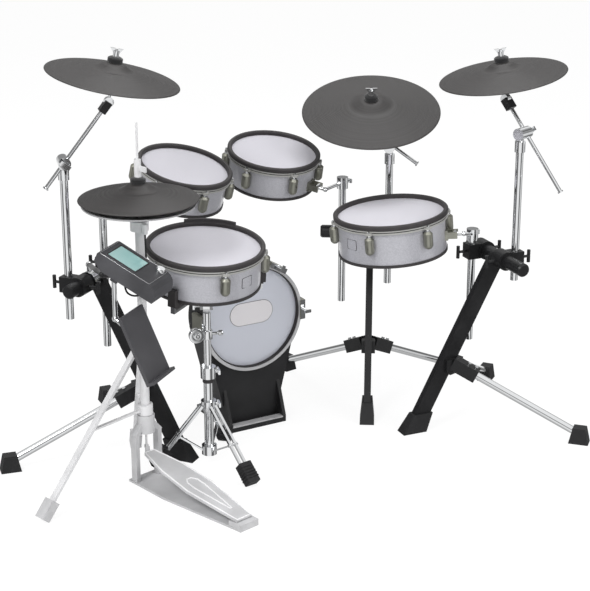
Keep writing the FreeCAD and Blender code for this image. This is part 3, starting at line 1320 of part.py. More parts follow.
def tray():
    """Tray plate with a lip along its lower edge and cheeks for its pivot."""
    plate = block(TRAY_LENGTH, TRAY_WIDTH, TRAY_THICK)
    lip = block(8, TRAY_WIDTH, TRAY_LIP, Vector(TRAY_LENGTH / 2 - 4, 0, TRAY_LIP / 2 - TRAY_THICK / 2))
    shift = Placement(Vector(-TRAY_LENGTH * 0.2, 0, 0), Rotation())
    cheeks = [put(c, shift) for c in pivot_lugs(TRAY_PIVOT_DEPTH, TRAY_PIVOT_RADIUS, TRAY_PIVOT_HALF,
                                            -TRAY_THICK / 2)]
    return plate.fuse([lip] + cheeks).removeSplitter()


save("tray", [put(tray(), tray_at)])


# Lead: straight runs joined by arcs as large as the runs allow.

def lead_tube(route, radius):
    edges = []
    start = route[0]
    for before, corner, after in zip(route, route[1:], route[2:]):
        inward = (before - corner).normalize()
        outward = (after - corner).normalize()
        turn = math.pi - inward.getAngle(outward)
        shorter = min((before - corner).Length, (after - corner).Length)
        setback = 0.45 * shorter
        bend = setback / math.tan(turn / 2)
        print("lead bend radius %.1f mm" % bend)
        arc_start = corner + inward * setback
        arc_end = corner + outward * setback
        middle_way = (inward + outward).normalize()
        centre = corner + middle_way * (bend / math.cos(turn / 2))
        middle = centre - middle_way * bend
        edges.append(Part.LineSegment(start, arc_start).toShape())
        edges.append(Part.Arc(arc_start, middle, arc_end).toShape())
        start = arc_end
    edges.append(Part.LineSegment(start, route[-1]).toShape())
    path = Part.Wire(edges)
    ring_wire = Part.Wire(Part.makeCircle(radius, route[0], route[1] - route[0]))
    tube = path.makePipeShell([ring_wire], True, True)
    length = sum(edge.Length for edge in edges)
    print("lead length %.1f mm, volume share %.4f" % (
        length, tube.Volume / (math.pi * radius * radius * length)))
    return tube


save("hihat_lead", [lead_tube(lead_route(), LEAD_RADIUS)])
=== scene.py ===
# %% [markdown]
# This lesson dresses an electronic drum kit. The solids come from CAD and stay where they are. Blender
# adds what the solids can't say: the turned rubber of the cymbal pads, the woven heads, the sparkle of
# the shells, chrome, felt and the one hanging lead. We start by loading the imported model.

# %% Load the frame
import math
import bmesh
import bpy
from mathutils import Matrix, Vector


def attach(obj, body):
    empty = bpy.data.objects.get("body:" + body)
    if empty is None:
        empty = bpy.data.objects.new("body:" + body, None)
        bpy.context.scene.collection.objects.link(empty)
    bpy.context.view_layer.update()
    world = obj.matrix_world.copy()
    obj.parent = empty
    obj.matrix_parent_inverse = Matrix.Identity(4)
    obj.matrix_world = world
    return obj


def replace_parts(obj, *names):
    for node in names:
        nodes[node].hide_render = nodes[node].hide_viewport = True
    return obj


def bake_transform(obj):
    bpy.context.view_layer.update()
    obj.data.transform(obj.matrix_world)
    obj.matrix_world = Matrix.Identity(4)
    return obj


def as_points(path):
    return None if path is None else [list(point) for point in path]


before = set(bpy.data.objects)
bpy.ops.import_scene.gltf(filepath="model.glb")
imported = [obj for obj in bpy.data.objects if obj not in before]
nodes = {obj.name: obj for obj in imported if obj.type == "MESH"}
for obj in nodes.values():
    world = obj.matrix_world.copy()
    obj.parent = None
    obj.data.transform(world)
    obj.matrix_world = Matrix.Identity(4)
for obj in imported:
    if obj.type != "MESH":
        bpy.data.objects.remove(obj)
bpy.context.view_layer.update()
scene = bpy.context.scene

# %% [markdown]
# The photograph is taken from the player's side, about four metres away and a little above the cymbals. A
# long lens keeps the verticals nearly upright. The camera is placed in the same metres as the CAD.

# %% Camera
KIT_SHIFT = Vector((8.5, -1.09, 0.0)) / 1000
FOCAL_PIXELS = 1650.0
PHOTO_LONG_SIDE = 591.0
SENSOR_WIDTH = 36.0
CAMERA_PITCH = math.radians(19.3)


def at_mm(x, y, z):
    return Vector((x, y, z)) / 1000 + KIT_SHIFT


camera_data = bpy.data.cameras.new("player_side_camera")
camera_data.sensor_width = SENSOR_WIDTH
camera_data.lens = SENSOR_WIDTH * FOCAL_PIXELS / PHOTO_LONG_SIDE
camera_data.clip_end = 50.0
camera = bpy.data.objects.new("player_side_camera", camera_data)
camera.location = at_mm(-23.0, -4323.0, 1935.0)
camera.rotation_euler = (math.pi / 2 - CAMERA_PITCH, 0, 0)
scene.collection.objects.link(camera)
scene.camera = camera
scene.view_settings.view_transform = "Standard"
print("lens", round(camera_data.lens, 2), "mm at", [round(v, 3) for v in camera.location])

# %% [markdown]
# Procedural materials are easiest to read when one helper makes the empty shader and small helpers add
# one idea each: a noise that breaks up the roughness, a bump, a change of colour. A node and its inputs
# are made in one call. Numbers that are the same all over go straight on the shader's sockets.

# %% Material helpers
RAMP_ENDS = (0.3, 0.7)


def add_node(tree, kind, inputs=(), **settings):
    """A node with its settings; each named input is linked to a socket or set to a plain value."""
    node = tree.nodes.new(kind)
    for label, setting in settings.items():
        setattr(node, label, setting)
    for label, value in dict(inputs).items():
        if isinstance(value, bpy.types.NodeSocket):
            tree.links.new(value, node.inputs[label])
        else:
            node.inputs[label].default_value = value
    return node


def sums(tree, operation, *values):
    """A math node; each value is a socket or a number."""
    return add_node(tree, "ShaderNodeMath", enumerate(values), operation=operation).outputs["Value"]


def new_material(name, colour, roughness, metallic=0.0):
    material = bpy.data.materials.new(name)
    material.use_nodes = True
    shader = material.node_tree.nodes["Principled BSDF"]
    shader.inputs["Base Color"].default_value = (*colour, 1.0)
    shader.inputs["Roughness"].default_value = roughness
    shader.inputs["Metallic"].default_value = metallic
    material.diffuse_color = (*colour, 1.0)
    return material, material.node_tree, shader


def coordinates(tree, kind):
    return add_node(tree, "ShaderNodeTexCoord").outputs[kind]


def object_noise(tree, scale, detail=2.0, roughness=0.5):
    """A noise over the piece's own metres."""
    noise = add_node(tree, "ShaderNodeTexNoise", {
        "Vector": coordinates(tree, "Object"), "Scale": scale, "Detail": detail, "Roughness": roughness,
    })
    return noise.outputs["Fac"]


def remap(tree, value, low, high, from_low=RAMP_ENDS[0], from_high=RAMP_ENDS[1]):
    """Carries a value from one range to another, and holds it at the ends."""
    node = add_node(tree, "ShaderNodeMapRange", {
        "Value": value, "From Min": from_low, "From Max": from_high, "To Min": low, "To Max": high,
    })
    return node.outputs["Result"]


def add_bump(tree, shader, height, strength, distance):
    bump = add_node(tree, "ShaderNodeBump", {"Height": height, "Strength": strength, "Distance": distance})
    tree.links.new(bump.outputs["Normal"], shader.inputs["Normal"])


def colour_between(tree, shader, value, dark, pale):
    ramp = add_node(tree, "ShaderNodeValToRGB", {"Fac": value})
    for element, position, colour in zip(ramp.color_ramp.elements, RAMP_ENDS, (dark, pale)):
        element.position = position
        element.color = (*colour, 1.0)
    tree.links.new(ramp.outputs["Color"], shader.inputs["Base Color"])


print("helpers ready")

# %% [markdown]
# Metals first. Powder-coated steel has a fine orange peel, and its gloss differs a little from place to
# place; the pale paint of the hi-hat stand is smooth. Chrome is almost a mirror: what makes it look real
# is the room that it reflects and faint polishing marks. The lugs and hoops are cast and satin plated,
# warmer and duller than chrome.

# %% Metal finishes
PEEL_GRAIN = 900.0
PEEL_DEPTH = 0.0004
COAT_PATCHES = 14.0


def powder_coat(name, colour, roughness, peel=0.16):
    material, tree, shader = new_material(name, colour, roughness)
    if peel:
        add_bump(tree, shader, object_noise(tree, PEEL_GRAIN, 3.0), peel, PEEL_DEPTH)
    patches = object_noise(tree, COAT_PATCHES, 3.0)
    tree.links.new(remap(tree, patches, roughness - 0.06, roughness + 0.08), shader.inputs["Roughness"])
    colour_between(tree, shader, patches, [c * 0.9 for c in colour], [c * 1.1 for c in colour])
    shader.inputs["Specular IOR Level"].default_value = 0.35
    return material


def plated(name, colour, roughness, cloud_scale=22.0):
    material, tree, shader = new_material(name, colour, roughness, 1.0)
    clouds = object_noise(tree, cloud_scale, 4.0, 0.6)
    tree.links.new(remap(tree, clouds, roughness * 0.7, roughness * 1.5), shader.inputs["Roughness"])
    colour_between(tree, shader, clouds, [c * 0.93 for c in colour], colour)
    return material


black_coat = powder_coat("satin_black_coat", (0.012, 0.012, 0.013), 0.36)
pale_coat = powder_coat("pale_grey_coat", (0.7, 0.7, 0.71), 0.42, 0.0)
pedal_coat = powder_coat("pedal_grey_coat", (0.55, 0.55, 0.56), 0.46, 0.0)
pedal_boot_coat = powder_coat("pedal_boot_grey_coat", (0.53, 0.53, 0.54), 0.5, 0.0)
pedal_edge_coat = powder_coat("pedal_edge_coat", (0.88, 0.88, 0.89), 0.4, 0.0)
tray_coat = powder_coat("dark_grey_coat", (0.075, 0.074, 0.08), 0.45)
silver_coat = powder_coat("silver_hoop_coat", (0.5, 0.5, 0.51), 0.34)
hoop_coat = powder_coat("drum_hoop_coat", (0.36, 0.36, 0.345), 0.32)
chrome = plated("polished_chrome", (0.8, 0.81, 0.82), 0.08)
satin_metal = plated("satin_plated_casting", (0.36, 0.36, 0.31), 0.36, 60.0)
hoop_metal = plated("brushed_hoop", (0.55, 0.55, 0.56), 0.3, 60.0)
print("metal finishes made")

# %% [markdown]
# Rubber, felt and moulded plastic are all dark and dull, so the grain has to tell them apart. Rubber is
# smooth with a slight bloom, felt is a deep mat of fibres, and moulded plastic has a fine grain.

# %% Rubber, felt and plastic finishes
BLOOM_CLOUDS = 11.0


def moulded(name, colour, roughness, grain_scale, grain_depth, bloom=1.35):
    material, tree, shader = new_material(name, colour, roughness)
    grain = object_noise(tree, grain_scale, 4.0, 0.65)
    add_bump(tree, shader, grain, 0.35, grain_depth)
    clouds = object_noise(tree, BLOOM_CLOUDS, 3.0)
    colour_between(tree, shader, clouds, [c * 0.85 for c in colour], [c * bloom for c in colour])
    tree.links.new(remap(tree, clouds, roughness - 0.08, roughness + 0.06), shader.inputs["Roughness"])
    shader.inputs["Specular IOR Level"].default_value = 0.3
    return material


rim_rubber = moulded("rim_rubber", (0.036, 0.033, 0.034), 0.55, 700.0, 0.0004)
foot_rubber = moulded("foot_rubber", (0.016, 0.016, 0.017), 0.62, 600.0, 0.0006)
lead_rubber = moulded("lead_rubber", (0.012, 0.012, 0.012), 0.5, 900.0, 0.0002)
tower_plastic = moulded("tower_plastic", (0.017, 0.017, 0.018), 0.5, 900.0, 0.0004)
case_plastic = moulded("case_plastic", (0.06, 0.06, 0.065), 0.52, 1100.0, 0.0003)
sensor_plastic = moulded("sensor_plastic", (0.05, 0.05, 0.05), 0.6, 500.0, 0.0005)
felt = moulded("pressed_felt", (0.012, 0.012, 0.013), 0.95, 420.0, 0.002)
felt.node_tree.nodes["Principled BSDF"].inputs["Sheen Weight"].default_value = 0.4
print("soft finishes made")

# %% [markdown]
# The shells are wrapped in a silver film with metal flakes under a clear coat. A fine Voronoi pattern
# gives each flake its own brightness, and a coat on the shader gives the film its gloss.

# %% Sparkle wrap
FLAKES_PER_METRE = 900.0


def sparkle_wrap():
    material, tree, shader = new_material("silver_sparkle_wrap", (0.43, 0.43, 0.46), 0.36, 0.2)
    flakes = add_node(tree, "ShaderNodeTexVoronoi", {
        "Vector": coordinates(tree, "Object"), "Scale": FLAKES_PER_METRE,
    })
    flake = add_node(tree, "ShaderNodeSeparateColor", {"Color": flakes.outputs["Color"]}).outputs
    colour_between(tree, shader, flake["Red"], (0.38, 0.38, 0.415), (0.48, 0.48, 0.515))
    tree.links.new(remap(tree, flake["Green"], 0.3, 0.42, 0.0, 1.0), shader.inputs["Roughness"])
    shader.inputs["Coat Weight"].default_value = 0.5
    shader.inputs["Coat Roughness"].default_value = 0.08
    return material


wrap = sparkle_wrap()
print("wrap made")

# %% [markdown]
# A mesh head is a taut woven cloth. Two crossed wave patterns make the threads: one is the warp, one the
# weft. The pattern reads each head's own flat map, so it stays square on a head that leans.

# %% Woven mesh finish
HEAD_THREADS = 0.0016
PATCH_THREADS = 0.0011


def woven_mesh(name, colour, thread_pitch):
    material, tree, shader = new_material(name, colour, 0.8)
    flat_map = coordinates(tree, "UV")
    wave = {"Vector": flat_map, "Scale": 0.5 / thread_pitch, "Distortion": 0.4}
    warp, weft = [
        add_node(tree, "ShaderNodeTexWave", wave, bands_direction=direction).outputs["Fac"]
        for direction in ("X", "Y")
    ]
    cloth = sums(tree, "MAXIMUM", warp, weft)
    colour_between(tree, shader, cloth, [c * 0.82 for c in colour], colour)
    add_bump(tree, shader, cloth, 0.3, 0.0004)
    shader.inputs["Sheen Weight"].default_value = 0.15
    return material


head_mesh = woven_mesh("white_mesh_cloth", (0.62, 0.61, 0.66), HEAD_THREADS)
kick_mesh = woven_mesh("grey_mesh_cloth", (0.63, 0.65, 0.72), HEAD_THREADS)
patch_cloth = woven_mesh("kick_patch_cloth", (0.78, 0.76, 0.78), PATCH_THREADS)
seam_cloth = woven_mesh("patch_seam_cloth", (0.16, 0.16, 0.17), PATCH_THREADS)
print("cloth made")

# %% [markdown]
# The module has a pale blue display behind a clear window. It stays blank. The clear coat gives the
# window its gloss, and a slow gradient keeps it from looking like paper.

# %% Display finish
DISPLAY_GRADIENT = 9.0


def display_window():
    material, tree, shader = new_material("pale_display", (0.36, 0.62, 0.6), 0.25)
    glow = object_noise(tree, DISPLAY_GRADIENT, 1.0)
    colour_between(tree, shader, glow, (0.3, 0.57, 0.55), (0.46, 0.7, 0.68))
    shader.inputs["Coat Weight"].default_value = 1.0
    shader.inputs["Coat Roughness"].default_value = 0.03
    return material


display = display_window()
print("display made")

# %% [markdown]
# The nodes that keep their CAD shape get the finish of what they are made of. All the others are replaced
# below by pieces with finishes of their own.

# %% Finishes of the CAD nodes
CAD_FINISHES = {
    "stand_feet": foot_rubber, "snare_grips": rim_rubber, "hihat_pull_rod": pale_coat,
    "hihat_footboard": pedal_coat, "kick_tower": tower_plastic, "kick_pedal_plate": silver_coat,
    "module_case": case_plastic, "module_screen": display, "tray": tray_coat,
}
for name in ("tom_high", "tom_mid", "tom_floor", "snare", "kick"):
    CAD_FINISHES[name + "_sensor"] = sensor_plastic
for node_name, finish in CAD_FINISHES.items():
    nodes[node_name].data.materials.clear()
    nodes[node_name].data.materials.append(finish)
print("finished", len(CAD_FINISHES), "of", len(nodes), "nodes")

# %% [markdown]
# The lead from the hi-hat's sensor to the sound module hangs in one loose sag. A lead is a curve with a
# round bevel: its control points are the route, and the spline's order makes it bend softly between them.
# The module tilts and the hi-hat doesn't; the lead becomes a plain mesh in its sag.

# %% Hanging lead
LEAD_POINTS = [
    (-404.3, -315.4, 697.0), (-403.0, -315.2, 650.0), (-403.7, -315.2, 602.0), (-404.3, -315.4, 548.1),
    (-421.1, -316.6, 531.3), (-444.8, -318.4, 531.3), (-461.5, -319.7, 548.1), (-461.5, -319.7, 597.9),
]
LEAD_DIAMETER = 0.005


def plain_mesh(carrier):
    """The evaluated shape of a carrier object as a plain mesh."""
    evaluated = carrier.evaluated_get(bpy.context.evaluated_depsgraph_get())
    return bpy.data.meshes.new_from_object(evaluated)


def hanging_lead():
    """The lead as a tube, and the points of its own line."""
    curve = bpy.data.curves.new("hihat_lead_cord", "CURVE")
    curve.dimensions = "3D"
    curve.bevel_resolution = 5
    curve.use_fill_caps = True
    spline = curve.splines.new("NURBS")
    spline.points.add(len(LEAD_POINTS) - 1)
    for point, place in zip(spline.points, LEAD_POINTS):
        point.co = (*at_mm(*place), 1.0)
    spline.order_u = 3
    spline.use_endpoint_u = True
    spline.resolution_u = 12
    carrier = bpy.data.objects.new("lead_route", curve)
    scene.collection.objects.link(carrier)
    line = [vert.co.copy() for vert in plain_mesh(carrier).vertices]
    curve.bevel_depth = LEAD_DIAMETER / 2
    carrier.update_tag()
    tube = plain_mesh(carrier)
    bpy.data.objects.remove(carrier)
    tube.materials.clear()
    tube.materials.append(lead_rubber)
    piece = bpy.data.objects.new("hihat_lead_cord", tube)
    scene.collection.objects.link(piece)
    return piece, line


lead, lead_line = hanging_lead()
at_mm(*LEAD_POINTS[3])
at_mm(*LEAD_POINTS[6])
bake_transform(lead)
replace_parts(lead, "hihat_lead")
at_mm(*LEAD_POINTS[0])
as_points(lead_line)

# %% [markdown]
# A cymbal has its pad's radius, place and body. A drum has its opening's radius, its place, the angle of
# its first lug in degrees and its number of lugs.

# %% Places of drums and pads
def axes(x, y, z, origin):
    """A matrix from three directions and a place."""
    return Matrix.Translation(origin) @ Matrix((x, y, z)).transposed().to_4x4()


def lay(middle, normal):
    z = Vector(normal).normalized()
    x = (Vector((1, 0, 0)) - z * z.x).normalized()
    return axes(x, z.cross(x), z, middle)


HAT_X, HAT_Y = -420.0, -290.0
CYMBALS = {
    "crash_left": (0.178, lay(at_mm(-496, -107, 1053), (0.189, -0.021, 0.982)), "crash_left_pad"),
    "crash_right": (0.178, lay(at_mm(552, 174, 999), (-0.155, -0.05, 0.987)), "crash_right_pad"),
    "ride": (0.203, lay(at_mm(200, 414, 845), (-0.02, -0.33, 0.944)), "ride_pad"),
    "hihat_upper": (0.155, Matrix.Translation(at_mm(HAT_X, HAT_Y, 780)), "hihat_upper"),
}
DRUMS = {
    "tom_high": (0.1245, lay(at_mm(-333, 202, 744), (0.22, -0.157, 0.963)), 0.0, 6),
    "tom_mid": (0.1245, lay(at_mm(-84, 384, 741), (0.114, -0.176, 0.978)), 57.0, 6),
    "tom_floor": (0.149, lay(at_mm(244, 116, 635), (-0.085, -0.003, 0.996)), 5.0, 6),
    "snare": (0.146, lay(at_mm(-258, -185, 631), (0.05, -0.1, 0.994)), 4.0, 5),
}
KICK_TURN = math.radians(30.0)
kick_middle = at_mm(-140.0, 70.0, 328.0)
kick_normal = Vector((math.sin(KICK_TURN), -math.cos(KICK_TURN), 0.0))


def link_mesh(mesh, name, body, place=None, material=None):
    """Puts a finished mesh into the scene at the origin, on the body that carries it."""
    if place is not None:
        mesh.transform(place)
    mesh.name = name
    if material is not None:
        mesh.materials.clear()
        mesh.materials.append(material)
    piece = bpy.data.objects.new(name, mesh)
    scene.collection.objects.link(piece)
    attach(piece, body)
    return piece


print("places for", len(CYMBALS), "pads and", len(DRUMS), "drums")

# %% [markdown]
# Some CAD nodes hold several solids with finishes of their own: a hoop with its lugs and rods, a kick
# hoop with its claws. A merged copy of the node is split into its solids, and a small rule picks the
# finish of each. The copy is shaded smoothly except over sharp edges, which is what makes turned chrome
# look turned.

# %% Copies with a finish for each solid
SHARP_EDGE = math.radians(38.0)


def mesh_of(shape, name):
    """A finished bmesh as a plain mesh."""
    mesh = bpy.data.meshes.new(name)
    shape.to_mesh(mesh)
    shape.free()
    return mesh


def solids_in(shape):
    """Groups of faces that hang together."""
    left = set(shape.faces)
    while left:
        group = [left.pop()]
        for face in group:
            for edge in face.edges:
                for other in edge.link_faces:
                    if other in left:
                        left.remove(other)
                        group.append(other)
        yield group


def one_finish(middle, span, place):
    return 0


def dressed_copy(node_name, body, finishes, choose=one_finish):
    """Replaces a CAD node by its smooth copy; choose(middle, span, place) numbers a face's finish."""
    shape = bmesh.new()
    shape.from_mesh(nodes[node_name].data)
    bmesh.ops.remove_doubles(shape, verts=shape.verts, dist=1e-6)
    for edge in shape.edges:
        edge.smooth = len(edge.link_faces) == 2 and edge.calc_face_angle() < SHARP_EDGE
    for group in solids_in(shape):
        corners = [vert.co for face in group for vert in face.verts]
        low = Vector([min(c[i] for c in corners) for i in range(3)])
        high = Vector([max(c[i] for c in corners) for i in range(3)])
        for face in group:
            face.smooth = True
            face.material_index = choose((low + high) / 2, (high - low).length, face.calc_center_median())
    mesh = mesh_of(shape, node_name + "_dressed")
    for finish in finishes:
        mesh.materials.append(finish)
    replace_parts(link_mesh(mesh, node_name + "_dressed", body), node_name)


print("copies can be dressed")

# %% [markdown]
# The rules. A solid is known by its middle and its span, the diagonal of its box, and a face by its
# place. Small solids are rods, bolts and screws. The booms have a black sleeve just below the tilter.

# %% Rules for the finishes
ROD_SPAN = 0.014
HOOP_SPAN = 0.2
# Heights and reach of the painted shade laid into the hoops' groove.
GROOVE_SHADE_HEIGHTS = (-0.0196, -0.0167)
GROOVE_SHADE_REACH = 0.0112
SLEEVE_REACH = (0.012, 0.036)
KICK_HOOP_SPAN = 0.3
CLAW_FRONT = 0.004
HAT_BOOT_TOP = 0.055
HAT_LEG_MIDDLE = 0.1
PEDAL_FRAME_TOP = 0.2
PEDAL_FRAME_SPAN = 0.25
BASE_PLATE_TOP = 0.01
ARM_TUBE_TOP = 0.545


def drum_rule(inner, place):
    """Hoop, the painted shade in its groove, rods and lugs of one drum, told apart by size and by place."""
    back = place.inverted()

    def rule(middle, span, at):
        if span < ROD_SPAN:
            return 2
        if span < HOOP_SPAN:
            return 0
        local = back @ at
        # The hoop's faces in its groove get the near-black rim rubber: painted shade in the recess.
        groove_painted_shade = GROOVE_SHADE_HEIGHTS[0] < local.z < GROOVE_SHADE_HEIGHTS[1] and local.xy.length < inner + GROOVE_SHADE_REACH
        return 3 if groove_painted_shade else 1

    return rule


def sleeve_rule(tilter):
    return lambda middle, span, place: int(SLEEVE_REACH[0] < (place - tilter).length < SLEEVE_REACH[1])


def smaller_than(limit):
    return lambda middle, span, place: int(span < limit)


def kick_hoop_rule(middle, span, place):
    """The hoop is silver, and what stands before it is chrome."""
    if span > KICK_HOOP_SPAN:
        return 1
    return 2 if (place - kick_middle).dot(kick_normal) > CLAW_FRONT else 0


def hat_stand_rule(middle, span, place):
    """The boots at the ends of the legs darkest, then the pedal's frame; tube and legs stay pale."""
    if place.z < HAT_BOOT_TOP and middle.z > HAT_LEG_MIDDLE:
        return 2
    in_frame = middle.z < PEDAL_FRAME_TOP and span < PEDAL_FRAME_SPAN
    return int(in_frame or middle.z < BASE_PLATE_TOP)


def module_arm_rule(middle, span, place):
    return int(middle.z < ARM_TUBE_TOP)


print("rules ready")

# %% [markdown]
# Each node is now named with the body that carries it and its finishes in the order that its rule counts
# them. Most have one finish and need no rule.

# %% Dressed copies
BOLT_SPAN = 0.02
T_SCREW_SPAN = 0.03
TILTER_DROP = 0.062
for drum, (inner, place, first, count) in DRUMS.items():
    # The fourth finish, rim rubber, also paints shade into each hoop's groove.
    dressed_copy(drum + "_hardware", drum, [satin_metal, hoop_coat, chrome, rim_rubber],
                 drum_rule(inner, place))
for drum in DRUMS:
    dressed_copy(drum + "_shell", drum, [wrap])
    dressed_copy(drum + "_rims", drum, [rim_rubber])
dressed_copy("module_knob", "module_knob", [chrome])
for cymbal in ("crash_left", "crash_right", "ride"):
    tilter = CYMBALS[cymbal][1] @ Vector((0, 0, -TILTER_DROP))
    dressed_copy(cymbal + "_boom", cymbal + "_boom", [chrome, black_coat], sleeve_rule(tilter))
    dressed_copy(cymbal + "_tilter", cymbal + "_tilter", [chrome])
    dressed_copy(cymbal + "_post", cymbal + "_post", [chrome])
for tom in ("tom_high", "tom_mid", "tom_floor"):
    dressed_copy(tom + "_post", tom + "_post", [chrome])
for node_name, body in (("rack_base_tubes", "stands"), ("snare_tripod", "stands"),
                        ("snare_upper", "snare_upper"), ("snare_basket", "snare")):
    dressed_copy(node_name, body, [chrome])
dressed_copy("rack_hubs", "stands", [black_coat, chrome], smaller_than(BOLT_SPAN))
dressed_copy("rack_legs", "stands", [black_coat])
dressed_copy("rack_clamps", "stands", [black_coat, chrome], smaller_than(T_SCREW_SPAN))
dressed_copy("kick_hoop", "stands", [satin_metal, silver_coat, chrome], kick_hoop_rule)
dressed_copy("hihat_stand", "stands", [pale_coat, pedal_coat, pedal_boot_coat], hat_stand_rule)
dressed_copy("module_arm", "stands", [black_coat, chrome], module_arm_rule)
print("dressed copies made")

# %% [markdown]
# What repeats or follows a rule is made by Geometry Nodes. Each tree is built here node by node, with a
# named input for each size, so one tree serves several pieces. It runs once on an empty carrier. The
# result becomes a plain mesh, and the modifier goes.

# %% Geometry Nodes helpers
def start_tree(name, inputs):
    """A tree with named inputs; gives the tree, its inputs' sockets and its last node."""
    tree = bpy.data.node_groups.new(name, "GeometryNodeTree")
    tree.interface.new_socket("Geometry", in_out="OUTPUT", socket_type="NodeSocketGeometry")
    tree.interface.new_socket("Geometry", in_out="INPUT", socket_type="NodeSocketGeometry")
    for label, kind in inputs.items():
        tree.interface.new_socket(label, in_out="INPUT", socket_type="NodeSocket" + kind)
    source = tree.nodes.new("NodeGroupInput")
    return tree, source.outputs, tree.nodes.new("NodeGroupOutput")


def close_tree(tree, geometry, material, target):
    """Every tree ends the same way: instances made real, then one finish."""
    real = add_node(tree, "GeometryNodeRealizeInstances", {"Geometry": geometry}).outputs["Geometry"]
    paint = add_node(tree, "GeometryNodeSetMaterial", {"Geometry": real, "Material": material})
    tree.links.new(paint.outputs["Geometry"], target.inputs["Geometry"])


def vector(tree, **parts):
    """A vector from its X, Y and Z; each is a socket or a number."""
    return add_node(tree, "ShaderNodeCombineXYZ", parts).outputs["Vector"]


def run_tree(tree, values):
    """Runs a tree once and returns its result as a plain mesh."""
    carrier = bpy.data.objects.new("carrier", bpy.data.meshes.new("carrier"))
    scene.collection.objects.link(carrier)
    modifier = carrier.modifiers.new("nodes", "NODES")
    modifier.node_group = tree
    for item in tree.interface.items_tree:
        if item.item_type == "SOCKET" and item.in_out == "INPUT" and item.name in values:
            modifier[item.identifier] = values[item.name]
    carrier.update_tag()
    mesh = plain_mesh(carrier)
    carrier.modifiers.remove(modifier)
    bpy.data.objects.remove(carrier)
    return mesh


print("node helpers ready")

# %% [markdown]
# A cymbal pad is a turned shape with fine concentric grooves, so it follows a rule: each point is set by
# its radius and its angle. Geometry Nodes start from a flat grid, read one side as radius and the other
# as angle, and lift each point by the bow, the bell and the grooves. The underside is a second, smooth
# copy. The radius is stored on the points, so that the material can follow the rings.

# %% Turned pad tree
PAD_INPUTS = {
    "Radius": "Float", "Hole": "Float", "Bow": "Float", "Bell Radius": "Float", "Bell Rise": "Float",
    "Thickness": "Float", "Groove Pitch": "Float", "Groove Depth": "Float", "Material": "Material",
}
PAD_RINGS = 300
PAD_STEPS = 120
BELL_FLAT = 0.3
GROOVES_START = 1.08
EDGE_ROUNDING = 60.0
WELD = 0.00002


def turned_pad_tree():
    tree, value, target = start_tree("turned_pad", PAD_INPUTS)
    grid = add_node(tree, "GeometryNodeMeshGrid", {"Vertices X": PAD_RINGS, "Vertices Y": PAD_STEPS})
    position = add_node(tree, "GeometryNodeInputPosition").outputs["Position"]
    flat = add_node(tree, "ShaderNodeSeparateXYZ", {"Vector": position}).outputs
    along = sums(tree, "ADD", flat["X"], 0.5)
    turn = sums(tree, "MULTIPLY", sums(tree, "ADD", flat["Y"], 0.5), 2 * math.pi)
    reach = sums(tree, "SUBTRACT", value["Radius"], value["Hole"])
    radius = sums(tree, "MULTIPLY_ADD", along, reach, value["Hole"])
    slope = sums(tree, "DIVIDE", sums(tree, "SUBTRACT", value["Radius"], radius),
                 sums(tree, "SUBTRACT", value["Radius"], value["Bell Radius"]))
    bow = sums(tree, "MULTIPLY", sums(tree, "MINIMUM", slope, 1.0), value["Bow"])
    bell = add_node(tree, "ShaderNodeMapRange", {
        "Value": radius, "From Min": value["Bell Radius"],
        "From Max": sums(tree, "MULTIPLY", value["Bell Radius"], BELL_FLAT), "To Max": value["Bell Rise"],
    }, interpolation_type="SMOOTHSTEP")
    turns = sums(tree, "MULTIPLY", sums(tree, "DIVIDE", radius, value["Groove Pitch"]), 2 * math.pi)
    on_bow = sums(tree, "GREATER_THAN", radius, sums(tree, "MULTIPLY", value["Bell Radius"], GROOVES_START))
    wave = sums(tree, "MULTIPLY", sums(tree, "SINE", turns), value["Groove Depth"])
    groove = sums(tree, "MULTIPLY", wave, on_bow)
    inner = sums(tree, "MINIMUM", sums(tree, "MULTIPLY", along, EDGE_ROUNDING), 1.0)
    left = sums(tree, "SUBTRACT", 1.0, along)
    outer = sums(tree, "MINIMUM", sums(tree, "MULTIPLY", left, EDGE_ROUNDING), 1.0)
    ends = sums(tree, "MULTIPLY", inner, outer)
    raised = sums(tree, "ADD", bow, bell.outputs["Result"])
    middle = sums(tree, "MULTIPLY_ADD", value["Thickness"], 0.5, raised)
    half = sums(tree, "MULTIPLY", sums(tree, "MULTIPLY", value["Thickness"], 0.5), sums(tree, "SQRT", ends))
    x = sums(tree, "MULTIPLY", radius, sums(tree, "COSINE", turn))
    y = sums(tree, "MULTIPLY", radius, sums(tree, "SINE", turn))
    ringed = add_node(tree, "GeometryNodeStoreNamedAttribute", {
        "Geometry": grid.outputs["Mesh"], "Name": "ring", "Value": radius,
    }).outputs["Geometry"]
    smooth_top = sums(tree, "MULTIPLY_ADD", half, 1.0, middle)
    top = sums(tree, "ADD", smooth_top, sums(tree, "MULTIPLY", groove, ends))
    bottom = sums(tree, "MULTIPLY_ADD", half, -1.0, middle)
    upper, lower = [
        add_node(tree, "GeometryNodeSetPosition", {
            "Geometry": ringed, "Position": vector(tree, X=x, Y=y, Z=height),
        }).outputs["Geometry"]
        for height in (top, bottom)
    ]
    flipped = add_node(tree, "GeometryNodeFlipFaces", {"Mesh": lower}).outputs["Mesh"]
    join = add_node(tree, "GeometryNodeJoinGeometry")
    for side in (flipped, upper):
        tree.links.new(side, join.inputs["Geometry"])
    merge = add_node(tree, "GeometryNodeMergeByDistance", {
        "Geometry": join.outputs["Geometry"], "Distance": WELD,
    })
    smooth = add_node(tree, "GeometryNodeSetShadeSmooth", {"Geometry": merge.outputs["Geometry"]})
    close_tree(tree, smooth.outputs["Geometry"], value["Material"], target)
    return tree


pad_tree = turned_pad_tree()
print("pad tree with", len(pad_tree.nodes), "nodes")

# %% [markdown]
# The pad's rubber is a dark charcoal with a dull sheen. Its rings come from the stored radius: a noise
# along it gives the faint wider bands that turning leaves, in colour and in gloss.

# %% Turned rubber finish
BANDS_PER_METRE = 160.0
PAD_GRAIN = 800.0


